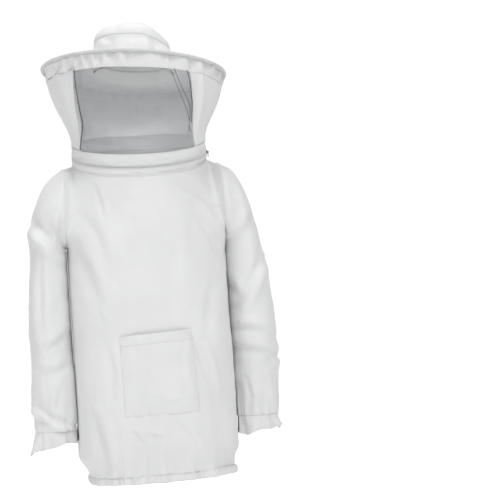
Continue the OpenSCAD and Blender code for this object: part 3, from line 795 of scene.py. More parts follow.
def pocket():
    cols, rows = 90, 106
    s = np.linspace(-1, 1, cols)[None, :]
    v = np.linspace(0, 1, rows)[:, None]
    wobble = 0.0016 * noise(np.stack([0 * v + np.sign(s) * 0.4, v * POCKET_H + 0 * s], -1), 0.022, 31)
    lean = 0.003 * (v - 0.5)
    x = s * (POCKET_W / 2 - 0.003 + 0.004 * v) + wobble * np.abs(s) ** 6 + lean
    z = POCKET_TOP - 0.006 - v * (POCKET_H - 0.010) + 0.003 * s * (1 - v) + 0 * x
    edge = np.minimum(np.minimum(1 - np.abs(s), (1 - v) * 1.15) + 0 * v, 1)
    lift = 0.0078 * smooth(edge / 0.34) ** 0.8 * (0.66 + 0.34 * (1 - v)) * (1 - 0.25 * np.abs(s))
    pucker = pleats(z + 0 * x, 0.012, 41) * 0.0011 * np.exp(-((1 - np.abs(s)) / 0.10) ** 2)
    bottom = pleats(x, 0.016, 43) * 0.0008 * np.exp(-((1 - v) / 0.06) ** 2)
    standing = lerp(0.0003, 0.0013, smooth(np.minimum(1 - np.abs(s), 1 - v) / 0.035))
    y = front_surface_y(x, z) - standing - lift - creases(x, z, POCKET_CREASES) * smooth(edge / 0.2)
    y = y - pucker - bottom - 0.0010 * noise(np.stack([x, z], -1), 0.030, 44) * smooth(edge / 0.1)
    grid = np.stack([x, y, z], -1)
    obj = shell("pocket_cloth", grid, 0.0011, False, (0, 0.3, -0.5))
    sew(obj, "jacket", CLOTH, "front_pocket",
        cut=(0.19, 0.21), rests_on=["front_panel_cloth"])
    out = np.array([0, -0.0004, 0])
    # the turned mouth hem: a second, slightly proud layer along the top
    mouth = grid[:14] + np.array([0, -0.0004, 0.0004])
    mouth = np.concatenate([mouth[:1] + np.array([0, 0.0012, 0.0004]), mouth,
                            mouth[-1:] + np.array([0, 0.0005, -0.0004])])
    hem = shell("pocket_mouth_cloth", mouth, 0.0008, False, (0, 0.3, -0.5))
    sew(hem, "jacket", HEM_CLOTH, "pocket_mouth_hem",
        cut=(0.19, 0.027), held="folded", rests_on=["pocket_cloth"])
    inset = 3
    rim = np.concatenate([grid[1:-inset, inset], grid[-inset, inset:-inset],
                          grid[1:-inset, -inset - 1][::-1]]) + out
    stitches("pocket_stitching", [rim, grid[12, 2:-2] + out * 3], lambda p: (0, -1, 0), "jacket")


pocket()


# ---- sleeves ----
UPPER_STATIONS = [
    (0.1886, -0.198, 0.1886, -0.002, 0.098), (0.1892, -0.200, 0.211, -0.022, 0.097),
    (0.1898, -0.204, 0.237, -0.056, 0.091), (0.1902, -0.209, 0.258, -0.104, 0.082),
    (0.1906, -0.216, 0.272, -0.156, 0.076), (0.1910, -0.228, 0.280, -0.205, 0.071),
    (0.1912, -0.264, 0.287, -0.255, 0.069), (0.1914, -0.305, 0.293, -0.300, 0.068),
    (0.1916, -0.350, 0.298, -0.350, 0.066)]
FOREARM_STATIONS = [
    (0.1920, -0.400, 0.301, -0.402, 0.0645), (0.1926, -0.470, 0.301, -0.475, 0.061),
    (0.1930, -0.540, 0.298, -0.545, 0.057), (0.1936, -0.600, 0.292, -0.602, 0.053),
    (0.1966, -0.626, 0.287, -0.626, 0.048)]
CUFF_STATIONS = [
    (0.1968, -0.6255, 0.2866, -0.6255, 0.0478), (0.1946, -0.644, 0.291, -0.644, 0.050),
    (0.1926, -0.664, 0.297, -0.664, 0.053)]


def through(stations, count):
    """Smooth curve through the stations, at an even step of its own length."""
    s = np.asarray(stations, float)
    centre = np.stack([(s[:, 0] + s[:, 2]) / 2, (s[:, 1] + s[:, 3]) / 2], -1)
    step = np.linalg.norm(np.diff(centre, axis=0), axis=1)
    at = np.concatenate([[0], np.cumsum(step)])
    slope = np.gradient(s, at, axis=0)
    t = np.linspace(0, at[-1], count)
    k = np.clip(np.searchsorted(at, t, side="right") - 1, 0, len(at) - 2)
    h = (at[k + 1] - at[k])[:, None]
    f = ((t - at[k]) / (at[k + 1] - at[k]))[:, None]
    return ((2 * f ** 3 - 3 * f ** 2 + 1) * s[k] + (f ** 3 - 2 * f ** 2 + f) * h * slope[k]
            + (-2 * f ** 3 + 3 * f ** 2) * s[k + 1] + (f ** 3 - f ** 2) * h * slope[k + 1])


def ring_grid(stations, angles):
    s = stations[:, None, :]
    a = angles[None, :]
    return np.stack([(s[..., 0] + s[..., 2]) / 2 - (s[..., 2] - s[..., 0]) / 2 * np.cos(a),
                     ARMHOLE_Y - s[..., 4] * np.sin(a),
                     (s[..., 1] + s[..., 3]) / 2 - (s[..., 3] - s[..., 1]) / 2 * np.cos(a)], -1)


# Creases on the front of each sleeve, as (distance from the centre line, z)
LEFT_SLEEVE_FRONT = [
    ([(0.188, -0.412), (0.236, -0.424), (0.286, -0.436)], 0.0034, 0.0105, 1.1),
    ([(0.186, -0.462), (0.236, -0.474), (0.290, -0.486), (0.262, -0.504)], 0.0036, 0.0105, 1.1),
    ([(0.272, -0.255), (0.232, -0.318), (0.196, -0.380)], 0.0050, 0.012, 1.3),
    ([(0.200, -0.215), (0.232, -0.190), (0.262, -0.150)], 0.0040, 0.013, 0.9),
    ([(0.194, -0.300), (0.206, -0.345)], 0.0040, 0.009, 0.9),
    ([(0.208, -0.080), (0.220, -0.130), (0.214, -0.180)], 0.0030, 0.010, 0.8),
    ([(0.250, -0.520), (0.262, -0.570), (0.258, -0.610)], 0.0032, 0.008, 0.9),
    ([(0.215, -0.540), (0.222, -0.585), (0.216, -0.615)], 0.0026, 0.006, 0.9),
]
RIGHT_SLEEVE_FRONT = [
    ([(0.262, -0.130), (0.240, -0.166), (0.212, -0.204)], 0.0060, 0.011, 1.0),
    ([(0.240, -0.146), (0.214, -0.172), (0.200, -0.192)], 0.0070, 0.016, 0.2),
    ([(0.196, -0.120), (0.202, -0.160), (0.198, -0.210)], 0.0050, 0.008, 0.6),
    ([(0.252, -0.200), (0.262, -0.290), (0.266, -0.400)], 0.0040, 0.012, 1.0),
    ([(0.196, -0.395), (0.226, -0.425), (0.262, -0.436)], 0.0034, 0.010, 1.0),
    ([(0.200, -0.470), (0.234, -0.490), (0.274, -0.492)], 0.0028, 0.010, 1.0),
    ([(0.290, -0.562), (0.250, -0.592), (0.204, -0.616)], 0.0055, 0.008, 1.3),
    ([(0.292, -0.590), (0.256, -0.606)], 0.0070, 0.012, 0.2),
    ([(0.230, -0.250), (0.222, -0.320), (0.228, -0.372)], 0.0026, 0.012, 0.9),
    ([(0.228, -0.530), (0.236, -0.575)], 0.0026, 0.007, 0.9),
]
SLEEVE_BACK = [
    ([(0.196, -0.330), (0.240, -0.352), (0.290, -0.344)], 0.0050, 0.009, 1.0),
    ([(0.198, -0.378), (0.236, -0.398), (0.284, -0.402)], 0.0050, 0.009, 1.0),
    ([(0.200, -0.200), (0.236, -0.230), (0.270, -0.290)], 0.0045, 0.012, 1.0),
    ([(0.210, -0.070), (0.236, -0.110), (0.240, -0.170)], 0.0036, 0.012, 1.0),
    ([(0.216, -0.460), (0.232, -0.520), (0.226, -0.580)], 0.0034, 0.010, 1.0),
    ([(0.262, -0.500), (0.270, -0.560), (0.262, -0.600)], 0.0030, 0.008, 1.0),
]


def ring_centres(stations):
    return np.stack([(stations[:, 0] + stations[:, 2]) / 2, 0 * stations[:, 0] + ARMHOLE_Y,
                     (stations[:, 1] + stations[:, 3]) / 2], -1)[:, None, :]


def sleeve_relief(grid, angles, front_list, seed):
    x, z = grid[..., 0], grid[..., 2]
    facing = smooth(0.5 + np.sin(angles)[None, :] * 1.6)
    folds = 1.5 * (creases(x, z, front_list) * facing + creases(x, z, SLEEVE_BACK) * (1 - facing))
    drape = noise(grid * np.array([1, 1, 0.55]), 0.055, seed) * 0.0038
    drape = drape + noise(grid * np.array([1, 1, 0.8]), 0.026, seed + 1) * 0.0012
    above = np.maximum(0, z - WRIST_Z)
    gathers = ring_pleats(angles, 15, seed + 2) * np.exp(-(above / 0.035) ** 1.5) * 0.0022
    gathers = gathers + 0.0026 * bump(above, 0, 0.024)
    gathers = gathers + ring_pleats(angles, 8, seed + 3) * np.exp(-(above / 0.085) ** 1.6) * 0.0024
    return folds + drape + gathers


def ring_pleats(angles, count, seed):
    """About count uneven pleats round a ring, from -1 to 1, as one row."""
    rng = np.random.default_rng(seed)
    phase, shift = rng.uniform(0, TAU), rng.uniform(0, TAU)
    a = angles + 0.16 * np.sin(3 * angles + shift) + 0.09 * np.sin(5 * angles + phase)
    size = 0.82 + 0.18 * np.sin(2 * angles + shift)
    return ((1 - 2 * np.abs(np.sin(0.5 * (count * a + phase))) ** 1.5) * size)[None, :]


def mirrored(grid, side):
    return grid * np.array([side, 1, 1])


def sleeve(side, word, front_list, seed, hang_in, puff):
    cols = 112
    angles = turns(cols)
    stations = through(UPPER_STATIONS + FOREARM_STATIONS, 190)
    grid = ring_grid(stations, angles)
    height = sleeve_relief(grid, angles, front_list, seed)
    row = np.linspace(0, 1, len(stations))[:, None]
    height = height * smooth(row / 0.05)
    centre = ring_centres(stations)
    grid = displaced(grid, height, True, centre)
    z = grid[..., 2]
    outer = smooth((grid[..., 0] - centre[..., 0]) / 0.05)
    hang = hang_in * smooth((-0.17 - z) / 0.08) * smooth((z + 0.60) / 0.14) - puff * bump(z, -0.120, 0.055)
    grid[..., 0] -= hang * outer
    nearest = grid[..., 0].min(axis=1, keepdims=True)
    inner = smooth((np.cos(angles)[None, :] - 0.45) / 0.45)
    beside_torso = smooth((-0.194 - z) / 0.008) * smooth((z + 0.622) / 0.03)
    grid[..., 0] -= (nearest - SLEEVE_REACH) * inner * beside_torso
    clear = lerp(ARMHOLE_GAP, SLEEVE_REACH - ARMHOLE_X, smooth(row / 0.12))
    grid[..., 0] = np.maximum(grid[..., 0], ARMHOLE_X + clear)
    grid = mirrored(grid, side)
    grid[..., 2] -= shoulder_drop(grid)
    obj = shell(f"{word}_sleeve_cloth", grid, 0.0012, True, mirrored(centre, side))
    sew(obj, None, CLOTH, f"{word}_upper_sleeve", f"{word}_forearm_sleeve",
        cut=(0.60, 0.62), area=0.265, rests_on=["front_panel_cloth", "back_panel_cloth"])
    return obj


def armhole_seam(side, word):
    a = turns(96)
    path = np.stack([0 * a + side * (ARMHOLE_X + 0.0008), ARMHOLE_Y + (ARMHOLE_R - 0.0008) * np.cos(a),
                     ARMHOLE_Z + (ARMHOLE_R - 0.0008) * np.sin(a)], -1)
    path[:, 2] -= shoulder_drop(path)
    seam = tube(f"{word}_armhole_seam", path, 0.0011, closed=True)
    sew(seam, "jacket", HEM_CLOTH)


def cuff(side, word, seed, slant, spread):
    cols, rows = 112, 26
    angles = turns(cols)
    stations = through(CUFF_STATIONS, rows)
    grid = ring_grid(stations, angles)
    v = np.linspace(0, 1, rows)[:, None]
    gathers = ring_pleats(angles, 15, seed + 2) * 0.0022 * np.exp(-(v / 0.45) ** 2)
    gathers = gathers + ring_pleats(angles, 8, seed + 3) * (0.0024 + 0.0022 * v)
    flare = ring_pleats(angles, 5, seed + 5) * 0.0045 * v ** 1.3 + 0.0026 * bump(v, 0, 0.6)
    centre = ring_centres(stations)
    grid = displaced(grid, gathers + flare, True, centre)
    dip = 0.0035 * np.sin(angles * 2 + seed)[None, :] + 0.0025 * np.sin(angles * 5 + 2 * seed)[None, :]
    outer = -np.cos(angles)[None, :]
    grid[..., 2] += dip * v ** 1.5 - slant * outer * v
    grid[..., 0] += spread * smooth((outer - 0.3) / 0.7) * v
    grid[..., 0] = np.maximum(grid[..., 0], ARMHOLE_X + ARMHOLE_GAP)
    grid = mirrored(grid, side)
    middle = mirrored(centre, side)
    obj = shell(f"{word}_cuff_cloth", grid, 0.0018, True, middle)
    sew(obj, f"{word}_forearm", HEM_CLOTH, f"{word}_cuff",
        cut=(0.40, 0.045), held="gathered", rests_on=[f"{word}_sleeve_cloth"])
    out = grid_normals(grid, True, middle)
    centre_xy = middle[0, 0]
    line = grid[rows - 5] + out[rows - 5] * 0.0003
    stitches(f"{word}_cuff_stitching", [line],
             lambda p: (p[0] - centre_xy[0], p[1] - centre_xy[1], 0), f"{word}_forearm", closed=True)
    heights = np.linspace(WRIST_Z + 0.002, WRIST_Z - 0.012, 6) - 0.002
    inset = 0.0045  # how far the elastic lies inside the wrist
    rings = np.array([(0.1966 + inset, z, 0.287 - inset, z, 0.048 - inset) for z in heights])
    band = mirrored(ring_grid(rings, angles), side)
    ribs = ring_pleats(angles, 30, 5) * 0.0005
    band = displaced(band, ribs + 0 * band[..., 0], True, middle[0, 0])
    elastic = shell(f"{word}_cuff_elastic_band", band, 0.0012, True, middle[0, 0])
    finish_piece(elastic, f"{word}_forearm", "elastic", ELASTIC, f"{word}_cuff_elastic",
                 cut=(0.26, 0.014), held="stretched", rests_on=[f"{word}_cuff_cloth"])


for side, word, front_list, seed, hang_in, puff, slant, spread in (
        (1, "left", LEFT_SLEEVE_FRONT, 60, 0.001, -0.004, -0.004, 0.001),
        (-1, "right", RIGHT_SLEEVE_FRONT, 80, 0.010, 0.007, 0.011, 0.010)):
    cloth = sleeve(side, word, front_list, seed, hang_in, puff)
    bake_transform(cloth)
    armhole_seam(side, word)
    cuff(side, word, seed, slant, spread)


# ---- collar and zip ----
def neck_band(name, z_high, z_low, node, body, seed, support):
    """A stitched band that follows the zip's ring."""
    phi = turns(360)
    rows = 12
    v = np.linspace(0, 1, rows)[:, None]
    sewn = (BAND_EDGE - 0.0003) * smooth((np.sin(phi) - 0.11) / 0.12)
    if z_low > 0:
        z = lerp(z_high, z_low - sewn, v)
    else:
        z = lerp(z_high + sewn, z_low, v)
    grid = np.stack([neck_point(phi, zz) for zz in z])
    slant = grid + np.array([0, 0, 1]) * 0.35 * grid[..., :1]
    soft = noise(slant * np.array([1, 1, 2.2]), 0.042, seed) * 0.0036 + noise(slant, 0.018, seed + 1) * 0.0012
    height = np.minimum(soft + 0.0016, 0.0042) * np.sin(math.pi * v) ** 0.8
    grid = displaced(grid, height, True, NECK_CENTRE)
    obj = shell(name, grid, 0.0016, True, NECK_CENTRE)
    sew(obj, body, HEM_CLOTH, node, cut=(0.93, abs(z_high - z_low) + 0.003),
        rests_on=[support])
    return grid


collar = neck_band("collar_band_cloth", -BAND_EDGE, -COLLAR_H, "collar_band", "jacket", 101,
                   "front_panel_cloth")
base = neck_band("veil_base_cloth", BAND_EDGE + VEIL_BASE_H, BAND_EDGE, "veil_base_band", "hood", 111,
                 "collar_band_cloth")
PROUD = np.array([1.004, 1.004, 1])  # sets a row of stitches just outside its band
stitches("collar_stitching", [collar[9] * PROUD], from_axis, "jacket", closed=True)
stitches("veil_base_stitching", [base[1] * PROUD, base[10] * PROUD], from_axis, "hood", closed=True)


def neck_seam():
    phi = turns(300)
    path = neck_point(phi, -COLLAR_H - 0.0004, 0.0004)
    seam = tube("neck_seam_piping", path, 0.0017, closed=True)
    sew(seam, "jacket", HEM_CLOTH)


neck_seam()

COIL_RING = COLLAR_R + 0.0006
ZIP_START, ZIP_END = math.radians(-3), math.radians(-6 - ZIP_TRAVEL - 3)


def arc_point(angle, r, z):
    return from_collar(r * np.cos(angle), r * np.sin(angle), z + 0 * angle)


def zip_coil(side, word, body):
    """Nylon coil: one bent loop after another along the tape."""
    pitch = 0.0016
    count = int((ZIP_START - ZIP_END) * COIL_RING / pitch)
    per_turn = 10
    t = np.arange(count * per_turn + 1) / per_turn
    angle = ZIP_END + (ZIP_START - ZIP_END) * t / count
    turn = TAU * t
    r = COIL_RING + 0.0008 * np.cos(turn + side * math.pi / 2)
    z = side * (0.0019 + 0.0014 * np.sin(turn + side * math.pi / 2))
    path = arc_point(angle, r, z)
    obj = tube(f"zip_coil_{word}_loops", path, 0.00034, sides=5)
    finish_piece(obj, body, "zip_coil", COIL, f"zip_coil_{word}")


def zip_tape(side, word, body):
    a = np.linspace(ZIP_END, ZIP_START, 220)
    low = 0.0011
    rows = [arc_point(a, COLLAR_R + lerp(-0.0001, 0.0010, smooth((k - 1) / 2)) + 0.0002 * (k % 2),
                      side * (low + 0.0113 * k / 9)) for k in range(10)]
    grid = np.stack(rows)
    obj = shell(f"zip_tape_{word}_weave", grid, 0.0008, False, NECK_CENTRE)
    finish_piece(obj, body, "zip_tape", TAPE, f"zip_tape_{word}", cut=(0.52, 0.0115),
                 rests_on=["collar_band_cloth" if side < 0 else "veil_base_cloth"])
    line = arc_point(a, COLLAR_R + 0.0013, side * (low + 0.0045))
    stitches(f"zip_tape_{word}_stitching", [line], from_axis, body)


for side, word, body in ((-1, "lower", "jacket"), (1, "upper", "hood")):
    zip_coil(side, word, body)
    zip_tape(side, word, body)


def paint_cad(material, *nodes):
    """Shows these CAD nodes as they are, with a material."""
    for o in list(bpy.context.scene.objects):
        if o.get("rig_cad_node") in nodes:
            o.data.materials.clear()
            o.data.materials.append(material)


paint_cad(METAL, "zip_stops_lower", "zip_stops_upper", "zip_slider_body", "zip_pull_tab")
paint_cad(WIRE, "brim_wire_hoop")


# ---- veil ----
LEAVES_NECK = 0.08  # the height where the veil's own shape has fully taken over from the band's


def veil_bow(v):
    """The veil bows out a little above its middle and in below it."""
    return 0.0065 * np.sin(math.pi * np.clip((v - 0.35) / 0.75, 0, 1)) - 0.0035 * bump(v, 0.18, 0.16)


def veil_folds(phi, v):
    """Soft vertical folds from the gathered top, strongest at the window's sides."""
    arc = phi * 0.185
    flat = np.stack([arc + 0 * v, v * 0.05 + 0 * arc], -1)
    broad = noise(flat, 0.040, 121) * 0.0050 * smooth(v / 0.3)
    fine = pleats(arc + 0 * v, 0.017, 122) * 0.0016 * np.exp(-((1 - v) / 0.30) ** 2)
    half = window_half(v)
    for sign, depth, place in ((-1, 0.010, 0.05), (-1, -0.006, 0.20), (1, 0.009, 0.04), (1, -0.006, 0.17)):
        away = (phi - WINDOW_CENTRE) * sign - half - place + 0.12 * (1 - v)
        broad = broad - depth * np.exp(-(away / 0.055) ** 2) * smooth(v / 0.35)
    return broad + fine


def veil_grid(start, end, cols, v):
    """A strip of the veil between two angles, each a function of height, and its angles."""
    phi = lerp(start(v), end(v), np.linspace(0, 1, cols)[None, :])
    grid = veil_point(phi, v)
    height = (veil_bow(v) + veil_folds(phi, v)) * smooth(v / LEAVES_NECK)
    return grid + outward(grid - np.array([0, ARMHOLE_Y * 0.5, 0])) * height[..., None], phi


VEIL_TUCK = 0.012


def tucked(v):
    """1 where the veil lies under the band below it or above it, and 0 where it shows."""
    return np.maximum(smooth(1 - v / VEIL_TUCK), smooth((v - WINDOW_TOP + VEIL_TUCK) / VEIL_TUCK))


def window_side(sign):
    return lambda v: WINDOW_CENTRE + sign * window_half(v)


def net_window():
    """Square net: crossed ribbons with open cells, as one closed mesh."""
    pitch, thread, thickness = 0.0021, 0.00058, 0.00020
    across = int(0.30 / pitch)
    down = int(0.195 / pitch)

    def lines(count):
        middle = (np.arange(count + 1)) / count
        half = thread / pitch / count / 2
        return np.stack([middle - half, middle + half], -1).ravel()

    cols, rows = lines(across), lines(down)
    cols[0], cols[-1], rows[0], rows[-1] = 0, 1, 0, 1
    v = lerp(WINDOW_TOP + VEIL_TUCK, -VEIL_TUCK, rows)[:, None] + np.zeros((1, len(cols)))
    left, right = window_side(-1)(v), window_side(1)(v)
    phi = lerp(left, right, cols[None, :])
    grid = veil_point(phi, v)
    near = np.minimum(phi - left, right - phi)
    height = veil_bow(v) * smooth(v / LEAVES_NECK)
    height = height + veil_folds(phi, v) * smooth(v / LEAVES_NECK) * np.exp(-(near / 0.30) ** 2)
    height = height + 0.0016 * noise(grid, 0.05, 131) * smooth(near / 0.1) - 0.0017 * tucked(v)
    grid = grid + outward(grid) * height[..., None]
    a, b = len(rows), len(cols)
    i, j = np.mgrid[0:a - 1, 0:b - 1]
    keep = ((i % 2 == 0) | (j % 2 == 0)).ravel()
    faces = grid_faces(a, b, False)[keep]
    used = np.unique(faces)
    index = np.full(a * b, -1)
    index[used] = np.arange(len(used))
    obj = make_object("veil_net_window", grid.reshape(-1, 3)[used], index[faces])
    solid = obj.modifiers.new("thickness", "SOLIDIFY")
    solid.thickness = thickness
    solid.offset = 0
    # the area is that of the threads alone, without the holes between them
    finish_piece(obj, "hood", "veil_mesh", NET, "veil_mesh_window", cut=(0.34, 0.20), area=0.036,
                 held="stretched", rests_on=["veil_base_cloth", "veil_top_band_cloth"])


def net_fold(name, route, radius):
    """A fold that lies on the net. Its route is in shares across the window and heights up the veil."""
    route = np.array(route)
    t = np.linspace(0, 1, 40)
    across = np.interp(t, np.linspace(0, 1, len(route)), route[:, 0])
    v = np.interp(t, np.linspace(0, 1, len(route)), route[:, 1])
    phi = lerp(window_side(-1)(v), window_side(1)(v), across)
    path = veil_point(phi, v)
    near = np.minimum(phi - window_side(-1)(v), window_side(1)(v) - phi)
    height = veil_bow(v) + veil_folds(phi, v) * np.exp(-(near / 0.30) ** 2)
    lift = height * smooth(v / LEAVES_NECK) + 0.0008
    obj = tube(name, path + outward(path) * lift[:, None], radius)
    finish_piece(obj, "hood", "veil_mesh", NET_FOLD)


net_window()
net_fold("net_fold_side_right", [(0.014, 0.86), (0.010, 0.55), (0.012, 0.25), (0.008, 0.01)], 0.0012)
net_fold("net_fold_side_left", [(0.955, 0.86), (0.965, 0.66), (0.992, 0.56), (0.992, 0.30)], 0.0010)
net_fold("net_fold_upper", [(0.84, 0.86), (0.88, 0.68), (0.94, 0.48), (0.97, 0.32)], 0.0007)
net_fold("net_fold_lower", [(0.81, 0.84), (0.855, 0.64), (0.91, 0.44), (0.985, 0.18)], 0.0006)

BACK_ANGLE, BACK_LAP = math.radians(WINDOW_TURN + 90), 0.035


def veil_panel(name, node, start, end, under):
    """One cloth side of the veil. The column numbered under, if any, lies below the other panel's lap."""
    cols = 150
    v = np.linspace(WINDOW_TOP + VEIL_TUCK, -VEIL_TUCK, 84)[:, None] + np.zeros((1, cols))
    grid, phi = veil_grid(start, end, cols, v)
    grid = grid * (1 - 0.011 * tucked(v)[..., None] * np.array([1, 1, 0]))
    if under is not None:
        tuck = smooth(1 - np.abs(phi - phi[:, under][:, None]) / (2.4 * BACK_LAP))
        grid = grid * (1 - 0.010 * tuck[..., None] * np.array([1, 1, 0]))
    obj = shell(name, grid, 0.0011, False, (0, 0, 0.12))
    sew(obj, "hood", CLOTH, node, cut=(0.36, 0.21), rests_on=["veil_top_band_cloth"])


veil_panel("veil_left_cloth", "veil_left_panel",
           lambda v: window_side(1)(v) - 0.012, lambda v: BACK_ANGLE + BACK_LAP + 0 * v, -1)
veil_panel("veil_right_cloth", "veil_right_panel",
           lambda v: BACK_ANGLE - BACK_LAP + 0 * v, lambda v: window_side(-1)(v) + TAU + 0.012, None)


def window_binding():
    """The window's narrow side seams, shown by one row of stitches down each side."""
    sides = []
    for sign in (-1, 1):
        v = np.linspace(0.0, WINDOW_TOP, 60)
        phi = window_side(sign)(v) + sign * 0.010
        path = veil_point(phi, v)
        height = (veil_bow(v) + veil_folds(phi, v)) * smooth(v / LEAVES_NECK)
        sides.append(path + outward(path) * (height[:, None] + 0.0004))
    stitches("window_side_stitching", sides, from_centre, "hood")


window_binding()


def top_band():
    """The gathered band between the brim and the window."""
    rows, cols = 30, 520
    v = np.linspace(1.0, WINDOW_TOP - 0.006, rows)[:, None] + np.zeros((1, cols))
    phi = turns(cols)[None, :] + 0 * v
    grid = veil_point(phi, v)
    share = (v - WINDOW_TOP) / (1 - WINDOW_TOP)
    main = ring_pleats(phi[0], 27, 141) * 0.0062 * np.sin(math.pi * np.clip(share * 0.62 + 0.08, 0, 1))
    small = ring_pleats(phi[0], 61, 142) * 0.0011 * (0.3 + share)
    height = veil_bow(v) + 0.0005
    folded = veil_folds(phi - TAU * (phi > WINDOW_CENTRE + math.pi), v)
    height = height + folded * smooth((1 - share) / 0.9) + main * (0.45 + 0.55 * share) + small
    grid = grid + outward(grid) * height[..., None]
    obj = shell("veil_top_band_cloth", grid, 0.0013, True, (0, 0, 0.2))
    sew(obj, "hood", CLOTH, "veil_top_band", cut=(1.45, 0.034),
        held="gathered", rests_on=["brim_under_layer"])
    stitches("top_band_stitching", [grid[rows - 4]], from_centre, "hood", closed=True)


top_band()


# ---- hat ----
def hat_ring(radius, z, angle):
    return from_hat(radius * np.cos(angle), radius * np.sin(angle), z)


def brim():
    angle = turns(360)
    outer = BRIM_R - 2 * BINDING_R + 0.0006
    for word, side, node in (("top", 1, "brim_top_cloth"), ("under", -1, "brim_under_cloth")):
        r = np.linspace(CROWN_R, outer, 40)[:, None]
        ripple = noise(np.stack([r * np.cos(angle), r * np.sin(angle)], -1), 0.045, 151) * 0.0018
        ripple = ripple + 0.0005 * np.sin(angle * 46 + 2 * np.sin(angle * 3)) * smooth((r - 0.16) / 0.05)
        inside = smooth((r - CROWN_R) / 0.02) * smooth((outer - r) / 0.012)
        z = side * 0.0013 + ripple * inside
        grid = hat_ring(r + 0 * angle, z, angle[None, :] + 0 * r)
        obj = shell(f"brim_{word}_layer", grid, 0.0009, True, np.array([0, 0, BRIM_Z - side * 0.2]))
        sew(obj, "hood", CLOTH, node, cut=(0.44, 0.44), area=0.118,
            held="stretched", rests_on=["brim_wire_hoop"])
        rows = [grid[k] for k in (12, 22, 32, 38)]
        stitches(f"brim_{word}_stitching", rows, lambda p, s=side: (0, 0, s), "hood", closed=True)


def rim_binding():
    """Cloth rolled over the wire, with a seam on its inner side."""
    around, profile = 420, 16
    angle = turns(around)
    wrinkle = 0.00035 * ring_pleats(angle, 90, 161)[0] + 0.0006 * noise(
        np.stack([np.cos(angle), np.sin(angle)], -1), 0.3, 162)
    rows = []
    for k in range(profile):
        t = TAU * k / profile
        r = BINDING_R * (1.0 + 0.05 * math.cos(2 * t)) + wrinkle
        rows.append(hat_ring(BRIM_R - BINDING_R + r * math.cos(t), r * math.sin(t) * 0.92, angle))
    obj = make_object("brim_rim_cloth", np.stack(rows), wrap_faces(profile, around))
    # the binding's darker cotton is painted shade on the rim
    sew(obj, "hood", RIM_CLOTH_PAINTED_SHADE, "brim_rim_binding", cut=(1.40, 0.015),
        held="folded", rests_on=["brim_wire_hoop"])
    lines = [hat_ring(BRIM_R - 2 * BINDING_R + 0.0022, s * 0.0036, angle) for s in (-1, 1)]
    stitches("rim_stitching", lines[1:], lambda p: (0, 0, 1), "hood", closed=True)
    stitches("rim_under_stitching", lines[:1], lambda p: (0, 0, -1), "hood", closed=True)


brim()
rim_binding()

CROWN_SIDE_H = CROWN_H * 0.62
CROWN_CREASES = [
    ([(-0.075, 0.020), (-0.060, 0.050), (-0.066, 0.072)], 0.0040, 0.010, 1.0),
    ([(0.030, 0.012), (0.046, 0.040), (0.040, 0.070)], 0.0034, 0.010, 1.0),
    ([(-0.020, 0.060), (0.020, 0.068), (0.066, 0.062)], 0.0026, 0.008, 1.0),
]


def crown_lean(angle, share=1.0):
    """The soft crown slumps towards the wearer's left."""
    return 1 - 0.17 * smooth((share * np.cos(angle) - 0.10) / 0.90)


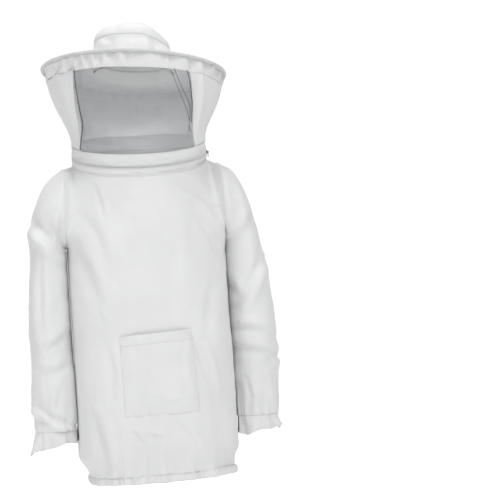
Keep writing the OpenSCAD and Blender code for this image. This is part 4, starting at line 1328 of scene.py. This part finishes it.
def crown():
    """A side wall and a soft top panel that meet in a seam."""
    cols = 240
    angle = turns(cols)[None, :]
    v = np.linspace(0, 1, 44)[:, None]
    level = lerp(0.0024, CROWN_SIDE_H, v)
    z = level * crown_lean(angle)
    r = lerp(CROWN_R, CROWN_TOP_R + 0.001, v ** 1.5) + 0.0030 * np.sin(math.pi * v)
    r = r * (1 - 0.12 * v ** 2 * smooth((np.cos(angle) + 0.1) / 1.1))
    where = np.stack([r * np.cos(angle), r * np.sin(angle), level + 0 * angle], -1)
    soft = noise(where, 0.050, 171) * 0.0036 + noise(where, 0.022, 172) * 0.0013
    facing = smooth(0.5 - np.sin(angle) * 1.4)
    soft = soft + creases(where[..., 0], where[..., 2], CROWN_CREASES) * facing
    tuck = pleats(angle * CROWN_R + 0 * v, 0.016, 173) * 0.0009 * np.exp(-(v / 0.25) ** 2)
    # the wall joins the top panel in a seam, so both have the same outline there
    seam_path = np.stack([CROWN_TOP_R * np.cos(angle[0]), CROWN_TOP_R * np.sin(angle[0])], -1)
    seam_soft = noise(seam_path, 0.05, 174) * 0.0022
    r = r + soft * smooth(v / 0.15) * smooth((1 - v) / 0.2) + tuck + seam_soft[None, :] * smooth(v)
    grid = hat_ring(r, z, angle + 0 * v)
    obj = shell("crown_side_cloth", grid, 0.0012, True, (0, 0, BRIM_Z + 0.04))
    sew(obj, "hood", CLOTH, "crown_side", cut=(0.64, 0.075), area=0.040,
        held="draped", rests_on=["brim_top_layer"])
    seam_r = r[-1]
    # top panel: full at the shoulder and nearly flat in the middle
    t = np.linspace(0, 1, 50)[:, None]
    rt = seam_r[None, :] * np.cos(t * math.pi / 2) ** 0.66
    rise = (CROWN_H - CROWN_SIDE_H) * 0.84 * np.sin(t * math.pi / 2) ** 0.70
    where = np.stack([rt * np.cos(angle), rt * np.sin(angle), rise + 0 * angle], -1)
    inside = smooth(t / 0.12) * smooth((1 - t) / 0.2)
    sag = noise(where, 0.055, 181) * 0.0040 + noise(where, 0.024, 182) * 0.0016
    pinch = pleats(angle * CROWN_TOP_R + 0 * t, 0.015, 183) * 0.0012 * np.exp(-(t / 0.22) ** 2)
    height = (CROWN_SIDE_H + rise) * crown_lean(angle, rt / seam_r[None, :]) + sag * inside + 0.0008
    grid = hat_ring(np.maximum(rt, 0.0004) + pinch, height, angle + 0 * t)
    obj = shell("crown_top_cloth", grid, 0.0012, True, (0, 0, BRIM_Z + 0.04))
    sew(obj, "hood", CLOTH, "crown_top", cut=(0.22, 0.22), area=0.038,
        held="draped", rests_on=["crown_side_cloth"])
    seam_z = CROWN_SIDE_H * crown_lean(angle[0])
    ring = hat_ring(seam_r + 0.0002, seam_z, angle[0])
    seam = tube("crown_seam_piping", ring, 0.0007, closed=True)
    sew(seam, "hood", HEM_CLOTH)
    lines = [hat_ring(seam_r + 0.0012, seam_z - 0.0045, angle[0])]
    stitches("crown_stitching", lines, from_centre, "hood", closed=True)


crown()


def sweatband():
    a = turns(200)
    rows = 16
    z = np.linspace(0.026, -0.004, rows)
    ribs = 0.0003 * np.sin(a * 90)
    grid = np.stack([hat_ring(CROWN_R - 0.005 + ribs, zz + 0 * a, a) for zz in z])
    obj = shell("sweatband_elastic", grid, 0.0020, True, (0, 0, BRIM_Z + 0.01))
    finish_piece(obj, "hood", "elastic", ELASTIC, "hat_sweatband", cut=(0.59, 0.031),
                 held="stretched", rests_on=["crown_side_cloth"])


sweatband()
